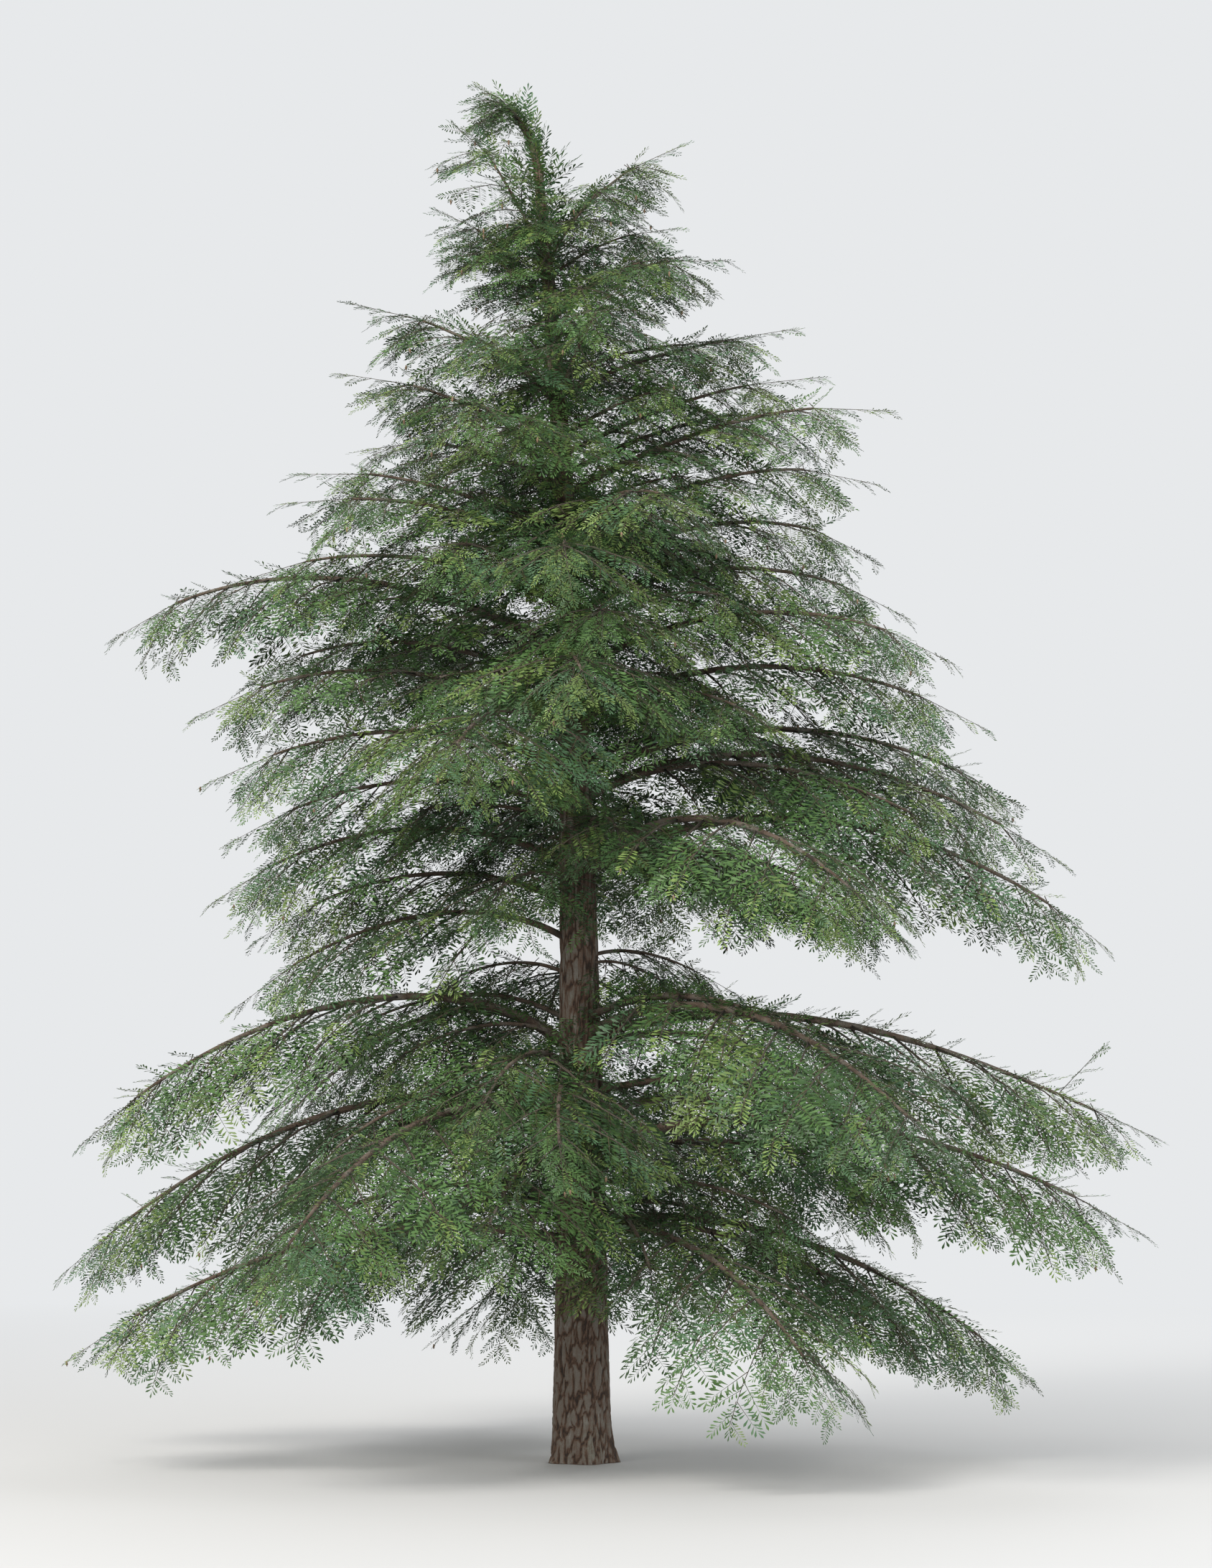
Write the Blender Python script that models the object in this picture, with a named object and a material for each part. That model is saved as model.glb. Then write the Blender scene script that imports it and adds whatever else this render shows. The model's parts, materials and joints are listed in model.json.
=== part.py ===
"""An open-grown eastern hemlock, twelve metres tall, modelled for Blender 4.5 in metres with +Z up.

The origin is the centre of the flat cut under the trunk, at ground level. +X is the tree's right-hand side,
-Y its front. Every limb and every mass of foliage is its own object.

A tier is a set of boughs that leave the trunk at about one height. Each bough follows one arched line from the
trunk to its furthest tip. The first stretch of that line is a bare limb, and the rest is the stem of a mass of
foliage, from which twigs fork left and right and end in sprays of needles. More sprays hang from the stem
itself. A spray is a flat toothed blade. High in the crown the foliage starts at the trunk, with no bare limb.
"""

import math
import random
from collections import namedtuple

import bmesh
import bpy
from mathutils import Matrix, Vector
from mathutils.bvhtree import BVHTree

UP = Vector((0, 0, 1))
LEVEL = Vector((1, 1, 0))  # keeps the level part of a vector
GAP = 0.0003  # clearance between a limb and what it meets
CUT_GROWTH = 0.00035  # how far the trunk is grown to cut that gap, a little more on its flat sides
SEED = 1207

# ---- Trunk -------------------------------------------------------------------------------------------------
TREE_HEIGHT = 12.0
LEADER_FOOT = 11.2  # height where the leader starts to nod over to the left
LEADER_ANGLES = (math.radians(96), math.radians(153))  # its heading at the foot and at the tip, from +X
LEADER_WOOD = 0.40  # share of the leader that is trunk, before its terminal tuft
LEAN = 0.38  # how far left of the foot the trunk is at the leader's foot
SWAY = 0.10  # slow bend of the trunk to the back
TRUNK_RADIUS = 0.256  # at the ground, before the root flare
LEADER_RADIUS = 0.042  # at the leader's foot
LEADER_TIP_RADIUS = 0.009
TRUNK_RESOLUTION = 6  # a bevel resolution of n gives 4 + 2n sides
TRUNK_RING_SPACING = 0.8  # above the root flare
LEADER_RINGS = 3
FLARE_LEVELS = (0.0, 0.07, 0.18, 0.36, 0.65, 1.1)
FLARE = 0.044  # growth of the radius at the ground
FLARE_HEIGHT = 0.26
ROOT_LOBES = 5
ROOT_LOBE_DEPTH = 0.032
ROOT_LOBE_HEIGHT = 0.20
ROOT_LOBE_TURN = math.radians(20)
SHARP_ANGLE = math.radians(50)

# ---- Boughs ------------------------------------------------------------------------------------------------
# foot is the height at which the tier leaves the trunk. left and right describe the boughs that point to the
# tree's left and right: how far the tip is from the plumb line through the trunk's foot, the tip's height, and
# the line's rise in degrees where it leaves the trunk and where it ends. The boughs between are blended from
# the two. bare is the share of each bough that is a bare limb.
Tier = namedtuple("Tier", "foot left right bare azimuths")
TIERS = (
    Tier(2.00, (4.45, 0.92, 14, -36), (4.02, 0.60, 10, -44), 0.22, (8, 100, 190, 300)),
    Tier(2.80, (4.76, 1.50, 24, -44), (4.92, 2.00, 16, -30), 0.24, (-14, 60, 168, 238)),
    Tier(3.55, (4.36, 2.70, 40, -46), (5.13, 2.74, 18, -24), 0.25, (5, 130, 186, 306)),
    Tier(5.15, (3.30, 4.80, 30, -38), (4.58, 4.40, 34, -42), 0.22, (-2, 78, 174, 306)),
    Tier(6.00, (3.36, 5.80, 28, -28), (4.30, 5.70, 28, -30), 0.22, (22, 196, 252)),
    Tier(6.85, (4.14, 7.10, 34, -38), (3.28, 6.85, 32, -34), 0.20, (-8, 112, 178)),
    Tier(7.70, (2.85, 8.20, 26, -8), (2.82, 7.85, 32, -34), 0.0, (20, 75, 205, 290)),
    Tier(8.50, (2.55, 8.92, 28, -6), (2.72, 9.08, 28, -8), 0.0, (-6, 140, 246)),
    Tier(9.20, (2.08, 10.10, 38, 8), (1.95, 9.88, 30, 10), 0.0, (10, 172, 280)),
    Tier(10.00, (1.40, 10.98, 50, 6), (1.42, 10.32, 34, -10), 0.0, (-24, 160)),
    Tier(10.60, (1.20, 11.60, 56, -4), (0.92, 11.48, 50, 10), 0.0, (14, 196)),
)
SIDES = ("right", "back_right", "back", "back_left", "left", "front_left", "front", "front_right")
LEAVING_HANDLE = 0.38  # length of the curve's handles, as a share of the bough's span
TIP_HANDLE = 0.34
SIDE_SWAY = 0.05  # sideways bend of a bough, as a share of its span
FOOT_STAGGER = 0.14  # boughs of one tier leave the trunk up to this much higher or lower
BOUGH_RADIUS_BASE = 0.007
BOUGH_RADIUS_SHARE = 0.0078  # growth of a bough's radius per metre of its length
BOUGH_TAPER = 0.86  # share of the radius that is lost by the tip
COLLAR = 0.35  # swelling where a bough leaves the trunk, as a share of its radius
COLLAR_SHARE = 0.07  # share of the bough over which it fades
BOUGH_RINGS = 5
BOUGH_RESOLUTION = 1
LENGTH_STEPS = 16  # straight steps in which a bough's length is measured
END_CAP = 0.08  # anything this near the end of a limb's line belongs to its end cap

# ---- Foliage -----------------------------------------------------------------------------------------------
STEM_SEGMENTS = 4
STEM_SIDES = 3
TWIG_SPACING = 0.42  # along the stem, between one side twig and the next on the other side
TWIG_COUNTS = (6, 8)  # fewest and most side twigs of a mass
TWIG_SPAN = (0.10, 0.88)  # stretch of the foliage, as shares of its length, that carries the side twigs
TWIG_ANGLE = math.radians(57)  # between the stem and a side twig
TWIG_DROOPS = (0.42, 0.20)  # how steeply the side twigs fall, lowest and highest tier
TWIG_RADIUS_SHARE = 0.62  # of the stem where it forks
TWIG_RADIUS_LEAST = 0.006
TWIG_TIP_RADIUS = 0.0048
FAN_BASE = 0.56  # half width of the narrowest fan of twigs
FAN_SHARE = 0.205  # growth of that half width per metre of bough
FAN_WIDEST_AT = 0.25  # share of the foliage's length
FAN_FOOT_LOSS = 0.06  # share of the half width that is lost at the foliage's foot
FAN_TIP_LOSS = 0.95
SPRAY_SHARE = 0.72  # length of a spray, as a share of its twig's reach
TIP_SPRAY_SHARE = 0.70  # share of the foliage's length that counts as reach for the spray at its tip
SPRAY_LENGTHS = (0.50, 1.0)  # shortest and longest
SPRAY_DROOP = 0.62  # how much steeper than its twig a spray falls
SPRAY_ROOT = 0.28  # share of the spray that its twig runs into
SPRAY_ROLL = 14  # degrees to either side
HANGING_SPRAYS = 3  # sprays that hang straight from the stem
HANGING_FIRST = 0.12  # place of the first and step to the next, as shares of the foliage's length
HANGING_STEP = 0.22
HANGING_DROOP = 1.1
HANGING_ANGLE = 24  # degrees to either side of the stem
HANGING_SIZE = 0.87  # reach of a hanging spray, as a share of the fan's
HANGING_SUNK = 0.07  # how far its root runs back past the stem's centre line
SPREAD = 0.13  # random part of a twig's angle, reach and place
DROOP_SPREAD = 0.30

# ---- A spray of needles ------------------------------------------------------------------------------------
BLADE_WIDTH = 0.66  # as a share of its length
BLADE_THICKNESS = 0.030
BLADE_APEX = 0.28  # place of the thickest point along the blade
# One side of its toothed outline, as shares of its length and of its half width
BLADE_TEETH = ((0.42, 1.0), (0.42, 0.46), (0.76, 0.62))
CLEARANCE = 0.006  # kept between the foliage of one mass and everything that isn't its own

# ---- Materials: name, colour, roughness --------------------------------------------------------------------
BARK = ("hemlock_bark", (0.145, 0.105, 0.080, 1.0), 0.92)
BRANCH_BARK = ("branch_bark", (0.190, 0.130, 0.085, 1.0), 0.88)
NEEDLES = ("needle_sprays", (0.055, 0.125, 0.045, 1.0), 0.55)


def blend(pair, share):
    """The value that lies at share between the two of a pair."""
    return pair[0] + (pair[1] - pair[0]) * share


def lowered(direction, droop):
    return (direction - UP * droop).normalized()


def material(name, colour, roughness):
    """A plain Principled material."""
    made = bpy.data.materials.new(name)
    made.use_nodes = True
    made.diffuse_color = colour
    shader = made.node_tree.nodes["Principled BSDF"]
    shader.inputs["Base Color"].default_value = colour
    shader.inputs["Roughness"].default_value = roughness
    shader.inputs["Metallic"].default_value = 0.0
    return made


def new_collection(name):
    made = bpy.data.collections.new(name)
    bpy.context.scene.collection.children.link(made)
    return made


# ---- Lines that the wood follows ---------------------------------------------------------------------------
def trunk_point(height):
    """Centre of the trunk at a height below the leader's foot."""
    share = height / LEADER_FOOT
    return Vector((-LEAN * share**3, SWAY * (1 - math.cos(math.pi * share)) / 2, height))


def trunk_radius(height):
    """Radius of the trunk without its root flare, below the leader's foot."""
    return blend((TRUNK_RADIUS, LEADER_RADIUS), height / LEADER_FOOT)


class Leader:
    """The nodding tip of the tree: an even bend that ends at the tree's full height."""

    name = "leader"
    level = 1.0
    bare = LEADER_WOOD

    def __init__(self):
        start, end = LEADER_ANGLES
        self.bend_radius = (TREE_HEIGHT - LEADER_FOOT) / (math.cos(start) - math.cos(end))
        self.length = self.bend_radius * (end - start)

    def point(self, share):
        start = LEADER_ANGLES[0]
        turned = blend(LEADER_ANGLES, share)
        along = self.bend_radius * (math.sin(turned) - math.sin(start))
        rise = self.bend_radius * (math.cos(start) - math.cos(turned))
        return trunk_point(LEADER_FOOT) + Vector((along, 0, rise))

    def heading(self, share):
        turned = blend(LEADER_ANGLES, share)
        return Vector((math.cos(turned), 0, math.sin(turned)))

    def radius(self, share):
        return blend((LEADER_RADIUS, LEADER_TIP_RADIUS), share)


class Bough:
    """One arched line from the trunk's centre to a bough's furthest tip, with its sizes."""

    def __init__(self, number, azimuth_deg, rng):
        tier = TIERS[number]
        self.level = number / (len(TIERS) - 1)
        self.bare = tier.bare
        self.name = f"{number + 1}_{SIDES[round(azimuth_deg / 45) % len(SIDES)]}"
        azimuth = math.radians(azimuth_deg)
        rightness = (1 + math.cos(azimuth)) / 2
        reach, tip_height, rise, fall = (blend(pair, rightness) for pair in zip(tier.left, tier.right))
        start = trunk_point(tier.foot + rng.uniform(-FOOT_STAGGER, FOOT_STAGGER))
        tip = Vector((reach * math.cos(azimuth), reach * math.sin(azimuth), tip_height))
        out = (tip - start) * LEVEL
        span = out.length
        out.normalize()
        sideways = UP.cross(out) * rng.uniform(-SIDE_SWAY, SIDE_SWAY) * span
        first = out * math.cos(math.radians(rise)) + UP * math.sin(math.radians(rise))
        last = out * math.cos(math.radians(fall)) + UP * math.sin(math.radians(fall))
        self.handles = (
            start,
            start + first * LEAVING_HANDLE * span + sideways,
            tip - last * TIP_HANDLE * span + sideways,
            tip,
        )
        steps = [self.point(i / LENGTH_STEPS) for i in range(LENGTH_STEPS + 1)]
        self.length = sum((b - a).length for a, b in zip(steps, steps[1:]))
        self.base_radius = BOUGH_RADIUS_BASE + BOUGH_RADIUS_SHARE * self.length

    def point(self, share):
        a, b, c, d = self.handles
        rest = 1 - share
        return a * rest**3 + b * (3 * rest**2 * share) + c * (3 * rest * share**2) + d * share**3

    def heading(self, share):
        a, b, c, d = self.handles
        rest = 1 - share
        slope = (b - a) * rest**2 + (c - b) * (2 * rest * share) + (d - c) * share**2
        return slope.normalized()

    def radius(self, share):
        collar = COLLAR * max(0.0, 1 - share / COLLAR_SHARE) ** 2
        return self.base_radius * (1 - BOUGH_TAPER * share + collar)


# ---- The rule that the foliage grows by --------------------------------------------------------------------
# A spray that hangs straight from the stem has no twig, so its start and end are None
Spray = namedtuple("Spray", "start end radius root way length roll")


def spray_length(reach):
    shortest, longest = SPRAY_LENGTHS
    return min(max(reach * SPRAY_SHARE, shortest), longest)


def stem_line(mass):
    """Shares and points of the stem, from just past the bare limb, or the trunk, into the spray at its tip."""
    tip_length = spray_length(mass.length * (1 - mass.bare) * TIP_SPRAY_SHARE)
    last = 1 - tip_length * (1 - SPRAY_ROOT) / mass.length
    shares = [blend((mass.bare, last), i / STEM_SEGMENTS) for i in range(STEM_SEGMENTS + 1)]
    points = [mass.point(s) for s in shares]
    if mass.bare:
        points[0] = points[0] + mass.heading(mass.bare) * GAP
    return shares, points


def stem_point(mass, share):
    """The point of the stem's own straight segments at a share of the bough's line."""
    shares, points = stem_line(mass)
    for low, high, start, end in zip(shares, shares[1:], points, points[1:]):
        if share <= high:
            return start.lerp(end, (share - low) / (high - low))
    return points[-1]


def fan_reach(mass, along):
    """How far the side twigs and their sprays reach at a share of the foliage's length."""
    widest = FAN_BASE + FAN_SHARE * mass.length
    if along > FAN_WIDEST_AT:
        loss = FAN_TIP_LOSS * ((along - FAN_WIDEST_AT) / (1 - FAN_WIDEST_AT)) ** 2
    else:
        loss = FAN_FOOT_LOSS * (1 - along / FAN_WIDEST_AT) ** 2
    return widest * (1 - loss)


def varied(rng, spread):
    return rng.uniform(1 - spread, 1 + spread)


def tip_spray(mass):
    """The spray at the bough's own tip."""
    stem_end = stem_line(mass)[1][-1]
    tip = mass.point(1.0)
    way = (tip - stem_end).normalized()
    length = (tip - stem_end).length / (1 - SPRAY_ROOT)
    return Spray(None, None, None, tip - way * length, way, length, 0.0)


def side_spray(mass, along, hand, rng):
    """A side twig and the spray at its end. hand is 1 to the left of the stem and -1 to the right."""
    share = blend((mass.bare, 1.0), along)
    heading = mass.heading(share)
    angle = TWIG_ANGLE * varied(rng, SPREAD)
    side = UP.cross(heading).normalized() * hand
    level = heading * math.cos(angle) + side * math.sin(angle)
    direction = lowered(level, blend(TWIG_DROOPS, mass.level) * varied(rng, DROOP_SPREAD))
    reach = fan_reach(mass, along) * varied(rng, SPREAD)
    length = spray_length(reach)
    start = stem_point(mass, share)
    end = start + direction * (reach - length * (1 - SPRAY_ROOT))
    radius = max(mass.radius(share) * TWIG_RADIUS_SHARE, TWIG_RADIUS_LEAST)
    way = lowered(direction, SPRAY_DROOP * varied(rng, DROOP_SPREAD))
    roll = math.radians(rng.uniform(-SPRAY_ROLL, SPRAY_ROLL))
    return Spray(start, end, radius, end - way * length * SPRAY_ROOT, way, length, roll)


def hanging_spray(mass, along, rng):
    share = blend((mass.bare, 1.0), along)
    turn = Matrix.Rotation(math.radians(rng.uniform(-HANGING_ANGLE, HANGING_ANGLE)), 3, "Z")
    way = lowered(turn @ mass.heading(share), HANGING_DROOP)
    length = spray_length(fan_reach(mass, FAN_WIDEST_AT) * HANGING_SIZE * varied(rng, SPREAD))
    root = stem_point(mass, share) - way * HANGING_SUNK
    return Spray(None, None, None, root, way, length, 0.0)


def sprays(mass, rng):
    """Every spray of a mass but the one at its tip."""
    fewest, most = TWIG_COUNTS
    count = min(max(round(mass.length * (1 - mass.bare) / TWIG_SPACING), fewest), most)
    hand = rng.choice((-1, 1))
    for i in range(count):
        along = blend(TWIG_SPAN, (i + 0.5 * varied(rng, SPREAD)) / count)
        yield side_spray(mass, along, hand * (-1) ** i, rng)
    for i in range(HANGING_SPRAYS):
        yield hanging_spray(mass, HANGING_FIRST + HANGING_STEP * (i + 0.5 * rng.random()), rng)


# ---- Solid pieces ------------------------------------------------------------------------------------------
def triangle_profile():
    """The three-sided outline that stems are swept with, its corners one unit from its centre."""
    curve = bpy.data.curves.new("stem_profile", "CURVE")
    curve.dimensions = "2D"
    spline = curve.splines.new("POLY")
    spline.points.add(STEM_SIDES - 1)
    for i, point in enumerate(spline.points):
        turn = 2 * math.pi * i / STEM_SIDES
        point.co = (math.cos(turn), math.sin(turn), 0, 1)
    spline.use_cyclic_u = True
    return bpy.data.objects.new("stem_profile", curve)


def swept_mesh(name, points, radii, resolution=None, profile=None):
    """A tapered limb along points as a closed mesh, round or swept with a profile."""
    curve = bpy.data.curves.new(name, "CURVE")
    curve.dimensions = "3D"
    curve.use_fill_caps = True
    if profile:
        curve.bevel_mode = "OBJECT"
        curve.bevel_object = profile
    else:
        curve.bevel_depth = 1.0
        curve.bevel_resolution = resolution
    spline = curve.splines.new("POLY")
    spline.points.add(len(points) - 1)
    for knot, point, radius in zip(spline.points, points, radii):
        knot.co = (*point, 1)
        knot.radius = radius
    guide = bpy.data.objects.new(name, curve)
    bpy.context.scene.collection.objects.link(guide)
    graph = bpy.context.evaluated_depsgraph_get()
    mesh = bpy.data.meshes.new_from_object(guide.evaluated_get(graph))
    bpy.data.objects.remove(guide)
    bpy.data.curves.remove(curve)
    bm = bmesh.new()
    bm.from_mesh(mesh)
    bmesh.ops.remove_doubles(bm, verts=bm.verts, dist=1e-5)
    bmesh.ops.recalc_face_normals(bm, faces=bm.faces)
    bm.to_mesh(mesh)
    bm.free()
    return mesh


def square_end(mesh, centre, heading):
    """Set the end cap at centre square to the line there."""
    for vertex in mesh.vertices:
        offset = vertex.co - centre
        if offset.length < END_CAP:
            vertex.co = vertex.co - heading * heading.dot(offset)


def twig_mesh(spray):
    """A three-sided side twig."""
    bm = bmesh.new()
    along = spray.end - spray.start
    turn = along.to_track_quat("Z", "Y").to_matrix().to_4x4()
    place = Matrix.Translation((spray.start + spray.end) / 2) @ turn
    bmesh.ops.create_cone(
        bm,
        cap_ends=True,
        segments=STEM_SIDES,
        radius1=spray.radius,
        radius2=TWIG_TIP_RADIUS,
        depth=along.length,
        matrix=place,
    )
    mesh = bpy.data.meshes.new("twig")
    bm.to_mesh(mesh)
    bm.free()
    return mesh


def blade_outline(length):
    """A spray's toothed outline, from its root round by the right-hand side."""
    half_width = length * BLADE_WIDTH / 2
    side = [(along * length, out * half_width) for along, out in BLADE_TEETH]
    right = [Vector((x, -y, 0)) for x, y in side]
    left = [Vector((x, y, 0)) for x, y in reversed(side)]
    return [Vector((0, 0, 0)), *right, Vector((length, 0, 0)), *left]


def blade_mesh(spray):
    """A spray of needles: a flat cone whose rim is drawn out to the spray's outline."""
    outline = blade_outline(spray.length)
    bm = bmesh.new()
    made = bmesh.ops.create_cone(
        bm, cap_ends=True, segments=len(outline), radius1=1, radius2=0, depth=1
    )
    rim = sorted((v for v in made["verts"] if v.co.z < 0), key=lambda v: math.atan2(v.co.y, v.co.x))
    apex = next(v for v in made["verts"] if v.co.z > 0)
    for vertex, corner in zip(rim, outline):
        vertex.co = corner
    apex.co = (BLADE_APEX * spray.length, 0, BLADE_THICKNESS * spray.length)
    bmesh.ops.recalc_face_normals(bm, faces=bm.faces)
    across = UP.cross(spray.way).normalized()
    facing = spray.way.cross(across)
    axes = Matrix((spray.way, across, facing)).transposed().to_4x4()
    place = Matrix.Translation(spray.root) @ axes @ Matrix.Rotation(spray.roll, 4, "X")
    bmesh.ops.transform(bm, matrix=place, verts=bm.verts)
    mesh = bpy.data.meshes.new("blade")
    bm.to_mesh(mesh)
    bm.free()
    return mesh


# ---- Wood --------------------------------------------------------------------------------------------------
def flare_at(height, turn):
    """How far the root flare and its lobes stand out of the plain taper."""
    lobe = ROOT_LOBE_DEPTH * math.cos(ROOT_LOBES * turn + ROOT_LOBE_TURN)
    return FLARE * math.exp(-height / FLARE_HEIGHT) + lobe * math.exp(-height / ROOT_LOBE_HEIGHT)


def flare_foot(mesh, top):
    """Widen the trunk below top into its root flare, and set the cut under it level at the ground."""
    lowest_ring = FLARE_LEVELS[1] / 2
    for vertex in mesh.vertices:
        if vertex.co.z > top:
            continue
        height = 0.0 if vertex.co.z < lowest_ring else vertex.co.z
        centre = trunk_point(height)
        out = (vertex.co - centre) * LEVEL
        grown = out.length + flare_at(height, math.atan2(out.y, out.x))
        vertex.co = centre + out.normalized() * grown


def trunk_mesh(leader):
    flare_top = FLARE_LEVELS[-1]
    rings = round((LEADER_FOOT - flare_top) / TRUNK_RING_SPACING)
    step = (LEADER_FOOT - flare_top) / rings
    heights = [*FLARE_LEVELS, *(flare_top + step * (i + 1) for i in range(rings))]
    shares = [LEADER_WOOD * (i + 1) / LEADER_RINGS for i in range(LEADER_RINGS)]
    points = [trunk_point(h) for h in heights] + [leader.point(s) for s in shares]
    radii = [trunk_radius(h) for h in heights] + [leader.radius(s) for s in shares]
    mesh = swept_mesh("trunk", points, radii, resolution=TRUNK_RESOLUTION)
    square_end(mesh, points[-1], leader.heading(LEADER_WOOD))
    flare_foot(mesh, flare_top + step / 2)
    return mesh


def trunk_cutter(trunk):
    """The trunk grown by a little more than the gap, to cut what meets it."""
    mesh = trunk.data.copy()
    places = [v.co + v.normal * CUT_GROWTH for v in trunk.data.vertices]
    for vertex, place in zip(mesh.vertices, places):
        vertex.co = place
    cutter = bpy.data.objects.new("trunk_cutter", mesh)
    cutter.hide_render = True
    cutter.display_type = "WIRE"
    return cutter


def apply_boolean(obj, operation, solver, collection=None, cutter=None):
    """Give an object a Boolean modifier and apply it."""
    change = obj.modifiers.new(operation.lower(), "BOOLEAN")
    change.operation = operation
    change.solver = solver
    if collection:
        change.operand_type = "COLLECTION"
        change.collection = collection
    else:
        change.object = cutter
    graph = bpy.context.evaluated_depsgraph_get()
    mesh = bpy.data.meshes.new_from_object(obj.evaluated_get(graph))
    obj.modifiers.clear()
    obj.data = mesh


def bough_object(bough, cutter, collection):
    """The bare limb, cut to the trunk's surface."""
    shares = [bough.bare * i / BOUGH_RINGS for i in range(BOUGH_RINGS + 1)]
    points = [bough.point(s) for s in shares]
    mesh = swept_mesh("bough", points, [bough.radius(s) for s in shares], resolution=BOUGH_RESOLUTION)
    square_end(mesh, points[-1], bough.heading(bough.bare))
    limb = bpy.data.objects.new(f"bough_{bough.name}", mesh)
    collection.objects.link(limb)
    apply_boolean(limb, "DIFFERENCE", "EXACT", cutter=cutter)
    return limb


def stem_object(mass, profile, cutter, collection):
    """The stem of a mass, cut to the trunk's surface where no bare limb carries it."""
    shares, points = stem_line(mass)
    mesh = swept_mesh("stem", points, [mass.radius(s) for s in shares], profile=profile)
    square_end(mesh, points[0], mass.heading(mass.bare))
    stem = bpy.data.objects.new(f"foliage_{mass.name}", mesh)
    collection.objects.link(stem)
    if not mass.bare:
        apply_boolean(stem, "DIFFERENCE", "EXACT", cutter=cutter)
    return stem


# ---- Room for each mass ------------------------------------------------------------------------------------
class Room:
    """What is already standing, so that each mass keeps to its own space."""

    def __init__(self):
        self.standing = []

    @staticmethod
    def outline(mesh, grown=0.0):
        """Lowest and highest corner of a mesh, and its search tree, with its surface moved out."""
        corners = [v.co + v.normal * grown for v in mesh.vertices]
        faces = [tuple(p.vertices) for p in mesh.polygons]
        low = Vector(min(c[i] for c in corners) for i in range(3))
        high = Vector(max(c[i] for c in corners) for i in range(3))
        return low, high, BVHTree.FromPolygons(corners, faces)

    def add(self, owner, kind, mesh):
        self.standing.append((owner, kind, *self.outline(mesh)))

    def is_free(self, owner, kind, mesh):
        """True if a piece clears all that isn't its owner's and, where it is a blade, its owner's blades."""
        low, high, tree = self.outline(mesh, CLEARANCE)
        for other, other_kind, other_low, other_high, other_tree in self.standing:
            if other == owner and not kind == other_kind == "blade":
                continue
            near = all(low[i] < other_high[i] and other_low[i] < high[i] for i in range(3))
            if near and tree.overlap(other_tree):
                return False
        return True


def foliage_pieces(mass, room, rng):
    """The twigs and blades of one mass, each kept only if it stays in its mass's own space."""
    pieces = []
    for spray in sprays(mass, rng):
        made = [("blade", blade_mesh(spray))]
        if spray.start:
            made.append(("twig", twig_mesh(spray)))
        if all(room.is_free(mass.name, kind, mesh) for kind, mesh in made):
            for kind, mesh in made:
                room.add(mass.name, kind, mesh)
                pieces.append(mesh)
    return pieces


def keep_widest_shell(mesh):
    """Drop loose scraps and the walls of sealed hollows: every shell but the one with most corners."""
    bm = bmesh.new()
    bm.from_mesh(mesh)
    waiting = set(bm.verts)
    shells = []
    while waiting:
        border = [waiting.pop()]
        shell = set(border)
        while border:
            corner = border.pop()
            found = {edge.other_vert(corner) for edge in corner.link_edges} & waiting
            waiting -= found
            shell |= found
            border.extend(found)
        shells.append(shell)
    for shell in sorted(shells, key=len)[:-1]:
        bmesh.ops.delete(bm, geom=list(shell), context="VERTS")
    bm.to_mesh(mesh)
    bm.free()


def join_foliage(stem, pieces):
    """Join every twig and blade to the stem by one Boolean union."""
    parts = new_collection(f"{stem.name}_parts")
    for mesh in pieces:
        parts.objects.link(bpy.data.objects.new("part", mesh))
    apply_boolean(stem, "UNION", "MANIFOLD", collection=parts)
    for part in list(parts.objects):
        bpy.data.objects.remove(part)
    bpy.data.collections.remove(parts)
    keep_widest_shell(stem.data)


def give_material(obj, look, smooth):
    obj.data.materials.clear()
    obj.data.materials.append(look)
    if smooth:
        obj.data.shade_smooth()
        obj.data.set_sharp_from_angle(angle=SHARP_ANGLE)


def main():
    for obj in list(bpy.data.objects):
        bpy.data.objects.remove(obj)
    tree = new_collection("eastern_hemlock")
    cutters = new_collection("cutters")
    bark, branch_bark, needles = (material(*look) for look in (BARK, BRANCH_BARK, NEEDLES))
    profile = triangle_profile()
    leader = Leader()
    rng = random.Random(SEED)
    boughs = [Bough(number, azimuth, rng) for number, tier in enumerate(TIERS) for azimuth in tier.azimuths]

    trunk = bpy.data.objects.new("trunk", trunk_mesh(leader))
    tree.objects.link(trunk)
    give_material(trunk, bark, smooth=True)
    cutter = trunk_cutter(trunk)
    cutters.objects.link(cutter)
    room = Room()
    room.add("trunk", "wood", trunk.data)
    for bough in boughs:
        if bough.bare:
            limb = bough_object(bough, cutter, tree)
            give_material(limb, branch_bark, smooth=True)
            room.add(limb.name, "wood", limb.data)

    masses = [leader, *boughs]
    stems = [stem_object(mass, profile, cutter, tree) for mass in masses]
    tips = [blade_mesh(tip_spray(mass)) for mass in masses]
    for mass, stem, tip in zip(masses, stems, tips):
        room.add(mass.name, "stem", stem.data)
        room.add(mass.name, "blade", tip)
    for number, (mass, stem, tip) in enumerate(zip(masses, stems, tips)):
        pieces = foliage_pieces(mass, room, random.Random(SEED + number))
        join_foliage(stem, [tip, *pieces])
        give_material(stem, needles, smooth=False)

    bpy.data.objects.remove(cutter)
    bpy.data.objects.remove(profile)


main()
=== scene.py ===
import json
import math
import random
from collections import namedtuple

import bmesh
import bpy
import numpy as np
from mathutils import Matrix, Vector, noise

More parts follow.
